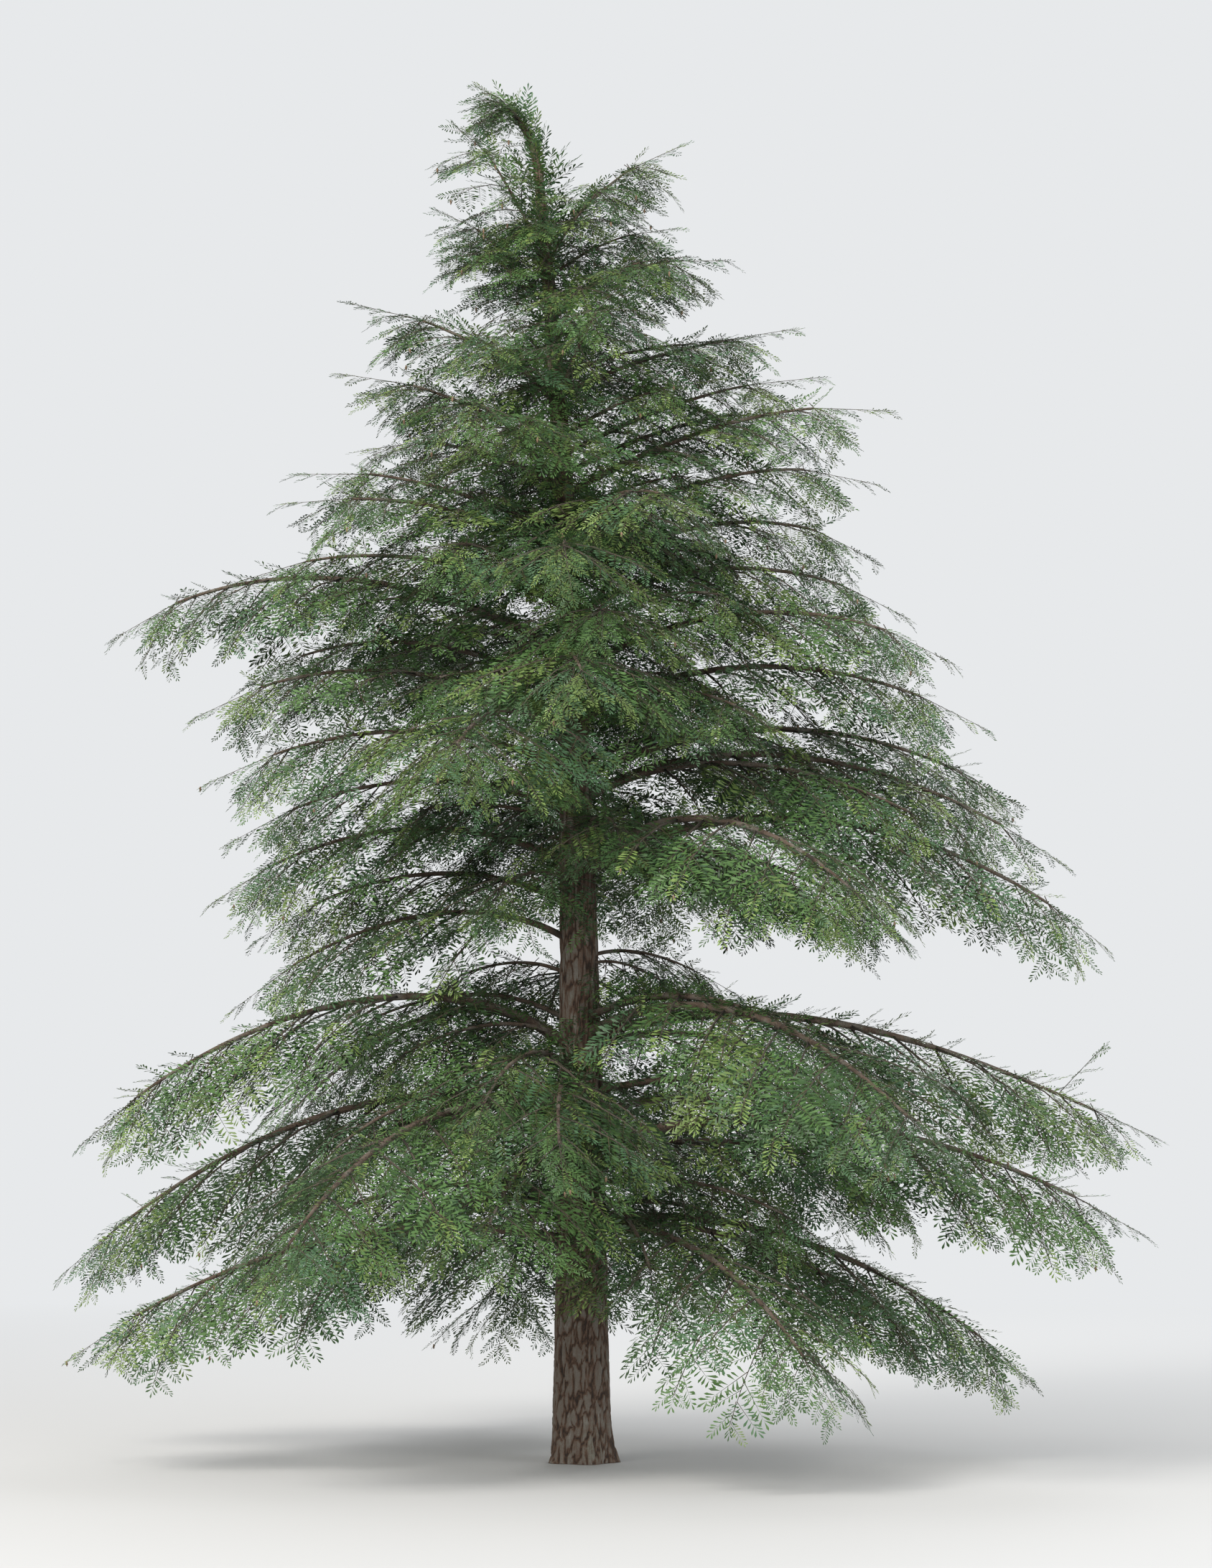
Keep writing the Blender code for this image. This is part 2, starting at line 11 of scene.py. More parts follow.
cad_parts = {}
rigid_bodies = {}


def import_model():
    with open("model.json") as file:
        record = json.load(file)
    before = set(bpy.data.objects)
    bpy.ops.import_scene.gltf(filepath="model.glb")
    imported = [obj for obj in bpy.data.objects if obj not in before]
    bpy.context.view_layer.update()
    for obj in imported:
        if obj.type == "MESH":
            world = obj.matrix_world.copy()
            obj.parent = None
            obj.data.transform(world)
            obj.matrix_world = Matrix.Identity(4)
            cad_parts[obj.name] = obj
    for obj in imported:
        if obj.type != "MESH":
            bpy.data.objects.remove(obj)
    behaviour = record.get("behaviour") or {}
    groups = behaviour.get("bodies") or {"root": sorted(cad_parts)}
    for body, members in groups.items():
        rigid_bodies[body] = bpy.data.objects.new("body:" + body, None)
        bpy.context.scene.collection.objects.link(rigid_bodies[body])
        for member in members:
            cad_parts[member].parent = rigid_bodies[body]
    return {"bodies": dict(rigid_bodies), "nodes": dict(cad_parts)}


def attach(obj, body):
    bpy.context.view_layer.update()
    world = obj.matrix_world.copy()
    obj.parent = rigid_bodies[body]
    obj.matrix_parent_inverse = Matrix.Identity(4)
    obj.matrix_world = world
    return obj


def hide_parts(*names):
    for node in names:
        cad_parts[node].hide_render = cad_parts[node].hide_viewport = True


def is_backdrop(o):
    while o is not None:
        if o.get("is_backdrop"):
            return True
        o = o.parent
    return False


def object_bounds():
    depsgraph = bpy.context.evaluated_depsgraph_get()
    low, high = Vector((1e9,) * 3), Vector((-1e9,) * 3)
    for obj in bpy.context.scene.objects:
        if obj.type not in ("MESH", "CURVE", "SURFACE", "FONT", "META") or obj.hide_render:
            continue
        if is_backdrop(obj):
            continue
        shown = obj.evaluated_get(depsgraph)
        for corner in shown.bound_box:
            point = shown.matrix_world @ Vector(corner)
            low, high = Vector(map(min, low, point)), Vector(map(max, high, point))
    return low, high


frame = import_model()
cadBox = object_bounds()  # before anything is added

# Metres, +Z up, +X the tree's right-hand side and -Y its front
up = Vector((0, 0, 1))
right = Vector((1, 0, 0))
flat = Vector((1, 1, 0))  # keeps the level part of a vector
body = next(iter(frame["bodies"]))
print("frame loaded:", len(frame["nodes"]), "nodes on", body)


def blend(pair, share):
    return pair[0] + (pair[1] - pair[0]) * share


def lowered(direction, droop):
    return (direction - up * droop).normalized()


def varied(rng, spread):
    return rng.uniform(1 - spread, 1 + spread)


def eased(value, low, high):
    share = min(max((value - low) / (high - low), 0.0), 1.0)
    return share * share * (3 - 2 * share)


# Materials: every node comes from add(), and sums on sockets add Math nodes
class Sum:
    def __init__(self, look, socket):
        self.look, self.socket = look, socket

    def math(self, operation, first, second):
        return self.look.add("ShaderNodeMath", {"operation": operation}, {0: first, 1: second})

    def __add__(self, other):
        return self.math("ADD", self, other)

    def __sub__(self, other):
        return self.math("SUBTRACT", self, other)

    def __rsub__(self, other):
        return self.math("SUBTRACT", other, self)

    def __mul__(self, other):
        return self.math("MULTIPLY", self, other)

    __radd__ = __add__
    __rmul__ = __mul__


class Look:
    def __init__(self, name):
        self.material = bpy.data.materials.new(name)
        self.material.use_nodes = True
        self.shader = self.material.node_tree.nodes["Principled BSDF"]

    def put(self, socket, value):
        if isinstance(value, Sum):
            self.material.node_tree.links.new(value.socket, socket)
        else:
            socket.default_value = value

    def add(self, kind, settings=None, inputs=None, output=0):
        node = self.material.node_tree.nodes.new(kind)
        for key, value in (settings or {}).items():
            setattr(node, key, value)
        for key, value in (inputs or {}).items():
            self.put(node.inputs[key], value)
        return Sum(self, node.outputs[output])

    def set(self, **values):
        for key, value in values.items():
            self.put(self.shader.inputs[key.replace("_", " ")], value)

    def stretched(self, scale):  # the piece's own coordinates, scaled along each axis
        place = self.add("ShaderNodeTexCoord", output="Object")
        return self.add("ShaderNodeMapping", None, {"Vector": place, "Scale": scale})

    def noise(self, scale, size, detail):
        values = {"Vector": self.stretched(scale), "Scale": size, "Detail": detail}
        return self.add("ShaderNodeTexNoise", None, values)

    def between(self, value, low, high):  # 0 at low and 1 at high, clamped
        values = {"Value": value, "From Min": low, "From Max": high}
        return self.add("ShaderNodeMapRange", None, values)

    def mixed(self, share, first, second):  # the colour inputs of a Mix node are its 7th and 8th
        return self.add("ShaderNodeMix", {"data_type": "RGBA"}, {0: share, 6: first, 7: second}, 2)

    def bump(self, height, depth):
        return self.add("ShaderNodeBump", None, {"Height": height, "Distance": depth})


# The trunk, as the frame has it
tree = {
    "seed": 1207,
    "height": 12.0,
    "leaderFoot": 11.2,  # where the leader starts to nod over
    "leaderAngles": (96, 153),
    "leaderWood": 0.40,  # share of the leader that is trunk
    "lean": 0.38,
    "sway": 0.10,
    "radius": 0.256,
    "leaderRadius": 0.042,
    "leaderTipRadius": 0.009,
    "flare": 0.044,
    "flareHeight": 0.26,
    "rootLobes": 5,
    "lobeDepth": 0.032,
    "lobeHeight": 0.20,
    "lobeTurn": 20,
}


def trunkPoint(height):
    share = height / tree["leaderFoot"]
    return Vector((-tree["lean"] * share**3, tree["sway"] * (1 - math.cos(math.pi * share)) / 2, height))


def trunkRadius(height):
    return blend((tree["radius"], tree["leaderRadius"]), min(height / tree["leaderFoot"], 1.0))


def flareAt(height, turn):
    lobe = tree["lobeDepth"] * math.cos(tree["rootLobes"] * turn + math.radians(tree["lobeTurn"]))
    flare = tree["flare"] * math.exp(-height / tree["flareHeight"])
    return flare + lobe * math.exp(-height / tree["lobeHeight"])


class Leader:
    tier = 10
    level = 1.0
    bare = tree["leaderWood"]

    def __init__(self):
        self.angles = [math.radians(a) for a in tree["leaderAngles"]]
        start, end = self.angles
        self.bend = (tree["height"] - tree["leaderFoot"]) / (math.cos(start) - math.cos(end))
        self.length = self.bend * (end - start)

    def point(self, share):
        start, turned = self.angles[0], blend(self.angles, share)
        along = self.bend * (math.sin(turned) - math.sin(start))
        rise = self.bend * (math.cos(start) - math.cos(turned))
        return trunkPoint(tree["leaderFoot"]) + Vector((along, 0, rise))

    def heading(self, share):
        turned = blend(self.angles, share)
        return Vector((math.cos(turned), 0, math.sin(turned)))

    def radius(self, share):
        return blend((tree["leaderRadius"], tree["leaderTipRadius"]), share)


# The boughs. Each tier has its foot on the trunk, then for the boughs that point left and right how far and
# how high their tips are and how steeply they rise at the trunk and at the tip, then the bare share and the
# azimuths of its boughs.
tiers = (
    (2.00, (4.45, 0.92, 14, -36), (4.02, 0.60, 10, -44), 0.22, (8, 100, 190, 300)),
    (2.80, (4.76, 1.50, 24, -44), (4.92, 2.00, 16, -30), 0.24, (-14, 60, 168, 238)),
    (3.55, (4.36, 2.70, 40, -46), (5.13, 2.74, 18, -24), 0.25, (5, 130, 186, 306)),
    (5.15, (3.30, 4.80, 30, -38), (4.58, 4.40, 34, -42), 0.22, (-2, 78, 174, 306)),
    (6.00, (3.36, 5.80, 28, -28), (4.30, 5.70, 28, -30), 0.22, (22, 196, 252)),
    (6.85, (4.14, 7.10, 34, -38), (3.28, 6.85, 32, -34), 0.20, (-8, 112, 178)),
    (7.70, (2.85, 8.20, 26, -8), (2.82, 7.85, 32, -34), 0.0, (20, 75, 205, 290)),
    (8.50, (2.55, 8.92, 28, -6), (2.72, 9.08, 28, -8), 0.0, (-6, 140, 246)),
    (9.20, (2.08, 10.10, 38, 8), (1.95, 9.88, 30, 10), 0.0, (10, 172, 280)),
    (10.00, (1.40, 10.98, 50, 6), (1.42, 10.32, 34, -10), 0.0, (-24, 160)),
    (10.60, (1.20, 11.60, 56, -4), (0.92, 11.48, 50, 10), 0.0, (14, 196)),
)
bough = {
    "leavingHandle": 0.38,  # the curve's handles, as shares of its span
    "tipHandle": 0.34,
    "sideSway": 0.05,
    "footStagger": 0.14,
    "radiusBase": 0.007,
    "radiusShare": 0.0078,  # growth of the radius per metre of length
    "taper": 0.86,
    "collar": 0.35,
    "collarShare": 0.07,
    "steps": 16,
    # Shorter boughs fill the crown from one tier to the next: where they start and stop, how many, and how
    # long they are beside the tiers round them
    "fillings": (
        (-0.1, 2.25, 20, (0.42, 0.84)), (2.7, 6.0, 24, (0.40, 0.80)), (6.0, 10.0, 22, (0.50, 0.90)),
    ),
    "fillingTurn": 137.5,
    "fillingSpread": 14,
    "fillingBare": 0.08,
    # and some that have a place of their own: tier number, azimuth, length
    "between": (
        (2.20, 172, 0.58), (2.38, 164, 0.40), (2.50, 180, 0.80), (2.42, 12, 0.30), (2.36, 328, 0.24),
        (2.80, 172, 0.84), (2.85, -6, 0.62), (3.50, 178, 0.94), (3.55, 2, 0.96), (3.50, 92, 0.92),
        (4.45, 188, 0.92), (4.50, -8, 0.94), (4.72, 166, 0.80), (4.50, 272, 0.90), (4.60, 88, 0.90),
        (5.50, 178, 0.88), (5.45, 6, 0.95), (5.50, 268, 0.92), (6.50, 186, 0.94), (6.50, -4, 0.94),
        (6.50, 88, 0.92), (7.50, 174, 0.94), (7.50, 4, 0.92), (5.85, 250, 0.55), (1.45, 268, 0.72),
    ),
}


def tierAt(number):
    # the tier at a place between two of the tree's own
    low = min(max(int(number), 0), len(tiers) - 2)
    share = number - low
    footPair, leftPair, rightPair, barePair = list(zip(tiers[low], tiers[low + 1]))[:4]
    mixed = [tuple(blend(pair, share) for pair in zip(*sidePair)) for sidePair in (leftPair, rightPair)]
    return blend(footPair, share), *mixed, blend(barePair, share)


class Bough:
    def __init__(self, number, azimuthDeg, rng, share=1.0):
        foot, left, rightSide, bare = tierAt(number)
        self.tier = min(max(round(number), 0), len(tiers) - 1)
        self.level = number / (len(tiers) - 1)
        self.bare = bare if share == 1.0 else min(bare, bough["fillingBare"])
        azimuth = math.radians(azimuthDeg)
        rightness = (1 + math.cos(azimuth)) / 2
        reach, tipHeight, rise, fall = (blend(pair, rightness) for pair in zip(left, rightSide))
        start = trunkPoint(foot + rng.uniform(-bough["footStagger"], bough["footStagger"]))
        reach *= share
        tipHeight = blend((foot, tipHeight), share)
        tip = Vector((reach * math.cos(azimuth), reach * math.sin(azimuth), tipHeight))
        out = (tip - start) * flat
        span = out.length
        out.normalize()
        sideways = up.cross(out) * rng.uniform(-bough["sideSway"], bough["sideSway"]) * span
        first = out * math.cos(math.radians(rise)) + up * math.sin(math.radians(rise))
        last = out * math.cos(math.radians(fall)) + up * math.sin(math.radians(fall))
        leaving = start + first * bough["leavingHandle"] * span + sideways
        nearing = tip - last * bough["tipHandle"] * span + sideways
        self.handles = (start, leaving, nearing, tip)
        steps = [self.point(i / bough["steps"]) for i in range(bough["steps"] + 1)]
        self.length = sum((b - a).length for a, b in zip(steps, steps[1:]))
        self.baseRadius = bough["radiusBase"] + bough["radiusShare"] * self.length

    def point(self, share):
        a, b, c, d = self.handles
        rest = 1 - share
        return a * rest**3 + b * (3 * rest**2 * share) + c * (3 * rest * share**2) + d * share**3

    def heading(self, share):
        a, b, c, d = self.handles
        rest = 1 - share
        return ((b - a) * rest**2 + (c - b) * (2 * rest * share) + (d - c) * share**2).normalized()

    def radius(self, share):
        collar = bough["collar"] * max(0.0, 1 - share / bough["collarShare"]) ** 2
        return self.baseRadius * (1 - bough["taper"] * share + collar)


leader = Leader()
rng = random.Random(tree["seed"])
mainBoughs = [Bough(number, azimuth, rng) for number, tier in enumerate(tiers) for azimuth in tier[4]]
shortBoughs = []
for first, last, count, shares in bough["fillings"]:
    for i in range(count):
        number = blend((first, last), (i + rng.random()) / count)
        azimuth = len(shortBoughs) * bough["fillingTurn"]
        azimuth = (azimuth + rng.uniform(-bough["fillingSpread"], bough["fillingSpread"])) % 360
        shortBoughs.append(Bough(number, azimuth, rng, rng.uniform(*shares)))
for number, azimuth, share in bough["between"]:
    shortBoughs.append(Bough(number, azimuth, rng, share))
print("boughs:", len(mainBoughs), "long and", len(shortBoughs), "short")


# Bark: a grid is rolled round a limb, and its corners are moved in and out by the relief
bark = {
    "around": 160,
    # Up to each height, the rows are this far apart
    "rowSteps": ((1.7, 0.0125), (4.1, 0.05), (4.8, 0.02), (11.2, 0.12)),
    "leaderRows": 6,
    "plateWidth": 0.056,
    "plateStretch": 0.27,  # plates are longer than wide by one over this
    "plateWarps": ((0.7, 0.5), (2.3, 0.26)),  # how fine and how strong
    "plateHeights": (0.78, 0.22),  # from plate to plate: the middle, and how far they stray
    "plateDraw": 7.1,  # any number that gives each plate its own height
    "furrow": (-0.06, 0.26),  # where its side starts and ends, as shares of a plate
    "grainHeights": (0.88, 0.22),
    "grainFineness": 2.2,
    "grainOctaves": 3,
    "depth": 0.022,
    "face": 0.85,  # the relief that lies at the trunk's own radius
    "thinning": 0.8,  # how fast the relief gets shallower with the trunk's radius
    "swell": 0.012,  # slow unevenness of the trunk
    "swellSize": 0.55,
    "limbAround": 8,
    "limbStep": 0.075,
    "limbDepth": 0.18,  # as a share of the limb's radius
    "limbScale": 11.0,
    "limbFiner": (2.7, 0.5),  # its second, finer relief: how fine and how strong
    "limbHeights": (0.5, 0.6),
    "limbFace": 0.6,
    "limbSunk": 0.5,  # how far into the trunk a limb starts, as a share of the trunk's radius
    "stemSunk": 0.01,  # how far a stem with no bare part starts along its line
}


def ringAxes(heading, reference):
    across = heading.cross(reference).normalized()
    return across.cross(heading), across


def rolledGrid(bm, rings, around, surface, reference):
    # rings are (centre, heading, share); surface gives the radius and the relief for a place on them
    made = bmesh.ops.create_grid(bm, x_segments=around, y_segments=len(rings) - 1, size=1)
    layer = bm.verts.layers.float["relief"]
    axes = [ringAxes(heading, reference) for _, heading, _ in rings]
    for vert in made["verts"]:
        turn = math.pi * (vert.co.x + 1)
        row = round((vert.co.y + 1) / 2 * (len(rings) - 1))
        centre, _, share = rings[row]
        first, second = axes[row]
        out = first * math.cos(turn) + second * math.sin(turn)
        radius, relief = surface(centre, out, share, turn)
        vert.co = centre + out * radius
        vert[layer] = relief
    bmesh.ops.remove_doubles(bm, verts=made["verts"], dist=1e-6)


def closedPiece(bm, name, look):
    bmesh.ops.holes_fill(bm, edges=bm.edges, sides=0)
    bmesh.ops.recalc_face_normals(bm, faces=bm.faces)
    mesh = bpy.data.meshes.new(name)
    bm.to_mesh(mesh)
    bm.free()
    mesh.shade_smooth()
    mesh.materials.append(look.material)
    return addedPiece(name, mesh)


def addedPiece(name, mesh):
    piece = bpy.data.objects.new(name, mesh)
    bpy.context.scene.collection.objects.link(piece)
    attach(piece, body)
    print(name, len(mesh.polygons), "faces")
    return piece


noise.seed_set(tree["seed"])  # noise_vector draws its offsets from this


def barkPlates(place):
    # 0 at the bottom of a furrow and up to 1 on a plate
    scaled = place * (1 / bark["plateWidth"])
    scaled.z *= bark["plateStretch"]
    for fineness, strength in bark["plateWarps"]:
        scaled += noise.noise_vector(scaled * fineness) * strength
    distances, centres = noise.voronoi(scaled)
    plate = eased(distances[1] - distances[0], *bark["furrow"])
    middle, stray = bark["plateHeights"]
    plate *= middle + stray * noise.noise(centres[0] * bark["plateDraw"])
    grain = noise.fractal(scaled * bark["grainFineness"], 1.0, 2.0, bark["grainOctaves"])
    middle, stray = bark["grainHeights"]
    return plate * (middle + stray * grain)


def trunkSurface(centre, out, share, turn):
    height = centre.z
    radius = trunkRadius(height) if share is None else leader.radius(share)
    around = trunkPoint(min(height, tree["leaderFoot"])) * flat
    relief = barkPlates(centre + out * radius - around)
    swell = noise.noise((centre + out * radius) / bark["swellSize"]) * bark["swell"]
    thick = radius / tree["radius"]
    moved = (relief - bark["face"]) * bark["depth"] * thick ** bark["thinning"] + swell * thick
    flare = flareAt(height, turn) if share is None else 0.0
    return radius + flare + moved, relief


def trunkRings():
    heights = [0.0]
    for top, step in bark["rowSteps"]:
        rows = round((top - heights[-1]) / step)
        heights += [blend((heights[-1], top), (i + 1) / rows) for i in range(rows)]
    rings = [(trunkPoint(h), up, None) for h in heights]
    shares = [tree["leaderWood"] * (i + 1) / bark["leaderRows"] for i in range(bark["leaderRows"])]
    return rings + [(leader.point(s), leader.heading(s), s) for s in shares]


def limbSurface(limb):
    # scaly ridges, deeper where the limb is thicker
    fineness, strength = bark["limbFiner"]
    middle, stray = bark["limbHeights"]

    def surface(centre, out, share, turn):
        radius = limb.radius(share)
        place = (centre + out * radius) * bark["limbScale"]
        ridges = noise.noise(place) + strength * noise.noise(place * fineness)
        relief = min(max(middle + stray * ridges, 0.0), 1.0)
        return radius * (1 + bark["limbDepth"] * (relief - bark["limbFace"])), relief

    return surface


def limbFoot(limb):
    # the share of its line where a limb's bark starts, inside the trunk
    if limb is leader:
        return limb.bare
    return min(bark["limbSunk"] * trunkRadius(limb.point(0).z) / limb.length, limb.bare + bark["stemSunk"])


def limbRings(limb, last):
    first = limbFoot(limb)
    rows = max(3, round(limb.length * (last - first) / bark["limbStep"]))
    shares = [blend((first, last), i / rows) for i in range(rows + 1)]
    return [(limb.point(s), limb.heading(s), s) for s in shares]


barkColours = {
    "furrow": (0.034, 0.023, 0.017, 1),
    "cinnamon": (0.112, 0.064, 0.041, 1),
    "plate": (0.152, 0.130, 0.106, 1),
    # painted highlight: the pale grey that the tops of the plates get
    "paintedHighlight": (0.268, 0.250, 0.222, 1),
    "lichen": (0.140, 0.158, 0.105, 1),
    "young": (0.058, 0.048, 0.036, 1),  # thin wood
}
barkPattern = {
    # Noises: how they are stretched along each axis, and their detail
    "streaks": ((1, 1, 0.22), 5.0),
    "patches": ((1, 1, 0.6), 3.0),
    "flakes": ((1, 1, 0.7), 2.0),
    "patchSize": 2.4,
    "flakeSize": 2.6,  # beside that of the streaks
    "shares": (0.55, 0.35),  # what streaks and flakes add to the relief
    # The height at which each colour starts, and at which it covers the one before
    "cinnamon": (0.10, 0.45),
    "plate": (0.40, 0.72),
    # the painted highlight on the plates' tops, and how far its patches move it
    "paintedHighlight": (0.74, 1.12),
    "paintedHighlightPatches": 0.7,
    "lichen": (0.45, 0.8),
    "lichenPatches": (0.58, 0.74),
    "lichenFlakes": 0.5,
    "lichenMost": 0.5,
    "roughHeights": (-0.4, 2.6),
    "roughness": (1.02, -0.35),  # in the furrows, and what is added at the top
    "bumpFlakes": 0.6,
    "bumpDepth": 0.010,
}


def barkLook(name, grain, young):
    # young is how far its colours are those of thin wood
    tones = {key: tuple(blend(pair, young) for pair in zip(colour, barkColours["young"]))
             for key, colour in barkColours.items()}
    look = Look(name)

    def noiseOf(kind, size):
        stretch, detail = barkPattern[kind]
        return look.noise(stretch, size, detail)

    def above(height, kind):
        return look.between(height, *barkPattern[kind])

    relief = look.add("ShaderNodeAttribute", {"attribute_name": "relief"}, output="Fac")
    streaks = noiseOf("streaks", grain)
    patches = noiseOf("patches", barkPattern["patchSize"])
    flakes = noiseOf("flakes", grain * barkPattern["flakeSize"])
    streakShare, flakeShare = barkPattern["shares"]
    raised = relief + (streaks - 0.5) * streakShare + (flakes - 0.5) * flakeShare
    colour = look.mixed(above(raised, "cinnamon"), tones["furrow"], tones["cinnamon"])
    colour = look.mixed(above(raised, "plate"), colour, tones["plate"])
    # painted highlight: the highest parts of the relief turn pale grey, in patches
    highlighted = above(raised + (patches - 0.5) * barkPattern["paintedHighlightPatches"], "paintedHighlight")
    colour = look.mixed(highlighted, colour, tones["paintedHighlight"])
    grown = above(patches + (flakes - 0.5) * barkPattern["lichenFlakes"], "lichenPatches")
    grown = grown * above(raised, "lichen") * barkPattern["lichenMost"]
    rough, smoother = barkPattern["roughness"]
    look.set(
        Base_Color=look.mixed(grown, colour, tones["lichen"]),
        Roughness=above(raised, "roughHeights") * smoother + rough,
        Normal=look.bump(streaks + flakes * barkPattern["bumpFlakes"], barkPattern["bumpDepth"]),
    )
    return look


bm = bmesh.new()
bm.verts.layers.float.new("relief")
rolledGrid(bm, trunkRings(), bark["around"], trunkSurface, right)
trunkLook = barkLook("trunkBark", grain=38.0, young=0.0)
trunkPiece = closedPiece(bm, "trunk_bark", trunkLook)
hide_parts("trunk")


# The rule that the foliage grows by. A frond is a side twig with the spray at its end: it leaves the stem
# at start, bends down at bend and ends at tip.
Frond = namedtuple("Frond", "start bend tip radius roll reach")
foliage = {
    "twigSpacing": 0.42,
    "twigCounts": (6, 8),
    "twigSpan": (0.10, 0.88),
    "twigAngle": 57,
    "twigDroops": (0.42, 0.20),  # lowest and highest tier
    "twigRadiusShare": 0.62,
    "twigRadiusLeast": 0.006,
    "fanBase": 0.56,
    "fanShare": 0.205,
    "fanWidestAt": 0.25,
    "fanFootLoss": 0.06,
    "fanTipLoss": 0.95,
    "sprayShare": 0.72,
    "tipSprayShare": 0.70,
    "sprayLengths": (0.50, 1.0),
    "sprayDroop": 0.62,
    "sprayRoot": 0.28,
    "sprayRoll": 14,
    "hangingSprays": 3,
    "hangingFirst": 0.12,
    "hangingStep": 0.22,
    "hangingDroop": 1.1,
    "hangingAngle": 24,
    "hangingSize": 0.87,
    "hangingSunk": 0.07,
    "spread": 0.13,
    "droopSpread": 0.30,
    "moreHanging": 4,  # beyond the frame's own
    "moreHangingSizes": (0.45, 0.85),
    "moreHangingAngle": 70,
    "upperDroops": (-0.02, 0.45),  # the finer side twigs, as shares of the others' droop
    "stemSpacing": 0.056,  # between feathers that stand on the stem itself
    "stemFrom": 0.45,  # of its bare share
    "stemAngles": (14, 60),
    "stemTurn": 50,  # they stand this far out of the level, either way
    "stemRises": (0.0, 0.4),
    "stemLengths": (0.22, 0.40),
    "stemTipLoss": 0.35,
    "leaderSpacing": 0.014,
    # An upturned twig: the long bough's number, its place along it, how it rises, its length
    "upturned": ((8, 0.80, 0.95, 0.62),),
    # Small feathers on the trunk: from and to which height, how far apart, how steeply they rise, how long
    "trunkFeathers": (
        (1.60, 4.05, 0.030, (-0.9, 0.2)), (4.80, 9.6, 0.022, (-0.9, 0.3)),
        (9.6, 10.6, 0.022, (0.0, 0.9)), (10.6, 11.2, 0.012, (0.2, 1.4)),
    ),
    "trunkLengths": (0.28, 0.44),
    "shootSpans": ((1.62, 4.05), (4.95, 10.2)),  # where small shoots hide the trunk
    "shootSpacing": 0.065,
    "shootReaches": (0.55, 1.05),
    "shootDroops": (0.1, 0.75),
    "shootBend": 0.45,
}


def sprayLength(reach):
    shortest, longest = foliage["sprayLengths"]
    return min(max(reach * foliage["sprayShare"], shortest), longest)


def stemEnd(mass):
    tipLength = sprayLength(mass.length * (1 - mass.bare) * foliage["tipSprayShare"])
    return 1 - tipLength * (1 - foliage["sprayRoot"]) / mass.length


def fanReach(mass, along):
    widest = foliage["fanBase"] + foliage["fanShare"] * mass.length
    if along > foliage["fanWidestAt"]:
        past = (along - foliage["fanWidestAt"]) / (1 - foliage["fanWidestAt"])
        return widest * (1 - foliage["fanTipLoss"] * past**2)
    return widest * (1 - foliage["fanFootLoss"] * (1 - along / foliage["fanWidestAt"]) ** 2)


def sideFrond(mass, along, hand, rng, droopShare=1.0):
    share = blend((mass.bare, 1.0), along)
    heading = mass.heading(share)
    angle = math.radians(foliage["twigAngle"]) * varied(rng, foliage["spread"])
    side = up.cross(heading).normalized() * hand
    droop = blend(foliage["twigDroops"], mass.level) * varied(rng, foliage["droopSpread"]) * droopShare
    direction = lowered(heading * math.cos(angle) + side * math.sin(angle), droop)
    reach = fanReach(mass, along) * varied(rng, foliage["spread"])
    length = sprayLength(reach)
    start = mass.point(min(share, stemEnd(mass)))
    bend = start + direction * (reach - length * (1 - foliage["sprayRoot"]))
    way = lowered(direction, foliage["sprayDroop"] * varied(rng, foliage["droopSpread"]))
    tip = bend + way * length * (1 - foliage["sprayRoot"])
    radius = max(mass.radius(share) * foliage["twigRadiusShare"], foliage["twigRadiusLeast"])
    roll = math.radians(rng.uniform(-foliage["sprayRoll"], foliage["sprayRoll"]))
    return Frond(start, bend, tip, radius, roll, reach)


def straightFrond(start, way, reach):
    tip = start + way * reach
    return Frond(start, start + way * reach / 2, tip, foliage["twigRadiusLeast"], 0.0, reach)


def hangingFrond(mass, along, turnDeg, size):
    share = min(blend((mass.bare, 1.0), along), stemEnd(mass))
    turn = Matrix.Rotation(math.radians(turnDeg), 3, "Z")
    way = lowered(turn @ mass.heading(share), foliage["hangingDroop"])
    length = sprayLength(fanReach(mass, foliage["fanWidestAt"]) * size)
    return straightFrond(mass.point(share) - way * foliage["hangingSunk"], way, length)


def upturnedFrond(mass, along, rise, reach):
    return straightFrond(mass.point(along), lowered(mass.heading(along) * flat, -rise), reach)


def tipFrond(mass):
    start, tip = mass.point(stemEnd(mass)), mass.point(1.0)
    reach = (tip - start).length
    return Frond(start, start.lerp(tip, 0.5), tip, foliage["twigRadiusLeast"], 0.0, reach)


def frondsOf(mass, rng):
    # the frame's own sprays first, by the same draws, then the finer ones between them
    fewest, most = foliage["twigCounts"]
    count = min(max(round(mass.length * (1 - mass.bare) / foliage["twigSpacing"]), fewest), most)
    hand = rng.choice((-1, 1))
    found = [tipFrond(mass)]
    places = []
    for i in range(count):
        along = blend(foliage["twigSpan"], (i + 0.5 * varied(rng, foliage["spread"])) / count)
        places.append((along, -hand * (-1) ** i))
        found.append(sideFrond(mass, along, hand * (-1) ** i, rng))
    for i in range(foliage["hangingSprays"]):
        along = foliage["hangingFirst"] + foliage["hangingStep"] * (i + 0.5 * rng.random())
        turn = rng.uniform(-foliage["hangingAngle"], foliage["hangingAngle"])
        size = foliage["hangingSize"] * varied(rng, foliage["spread"])
        found.append(hangingFrond(mass, along, turn, size))
    for along, other in places:
        found.append(sideFrond(mass, along, other, rng, rng.uniform(*foliage["upperDroops"])))
    for i in range(foliage["moreHanging"]):
        along = (i + rng.random()) / foliage["moreHanging"]
        turn = rng.uniform(-foliage["moreHangingAngle"], foliage["moreHangingAngle"])
        found.append(hangingFrond(mass, along, turn, rng.uniform(*foliage["moreHangingSizes"])))
    return found


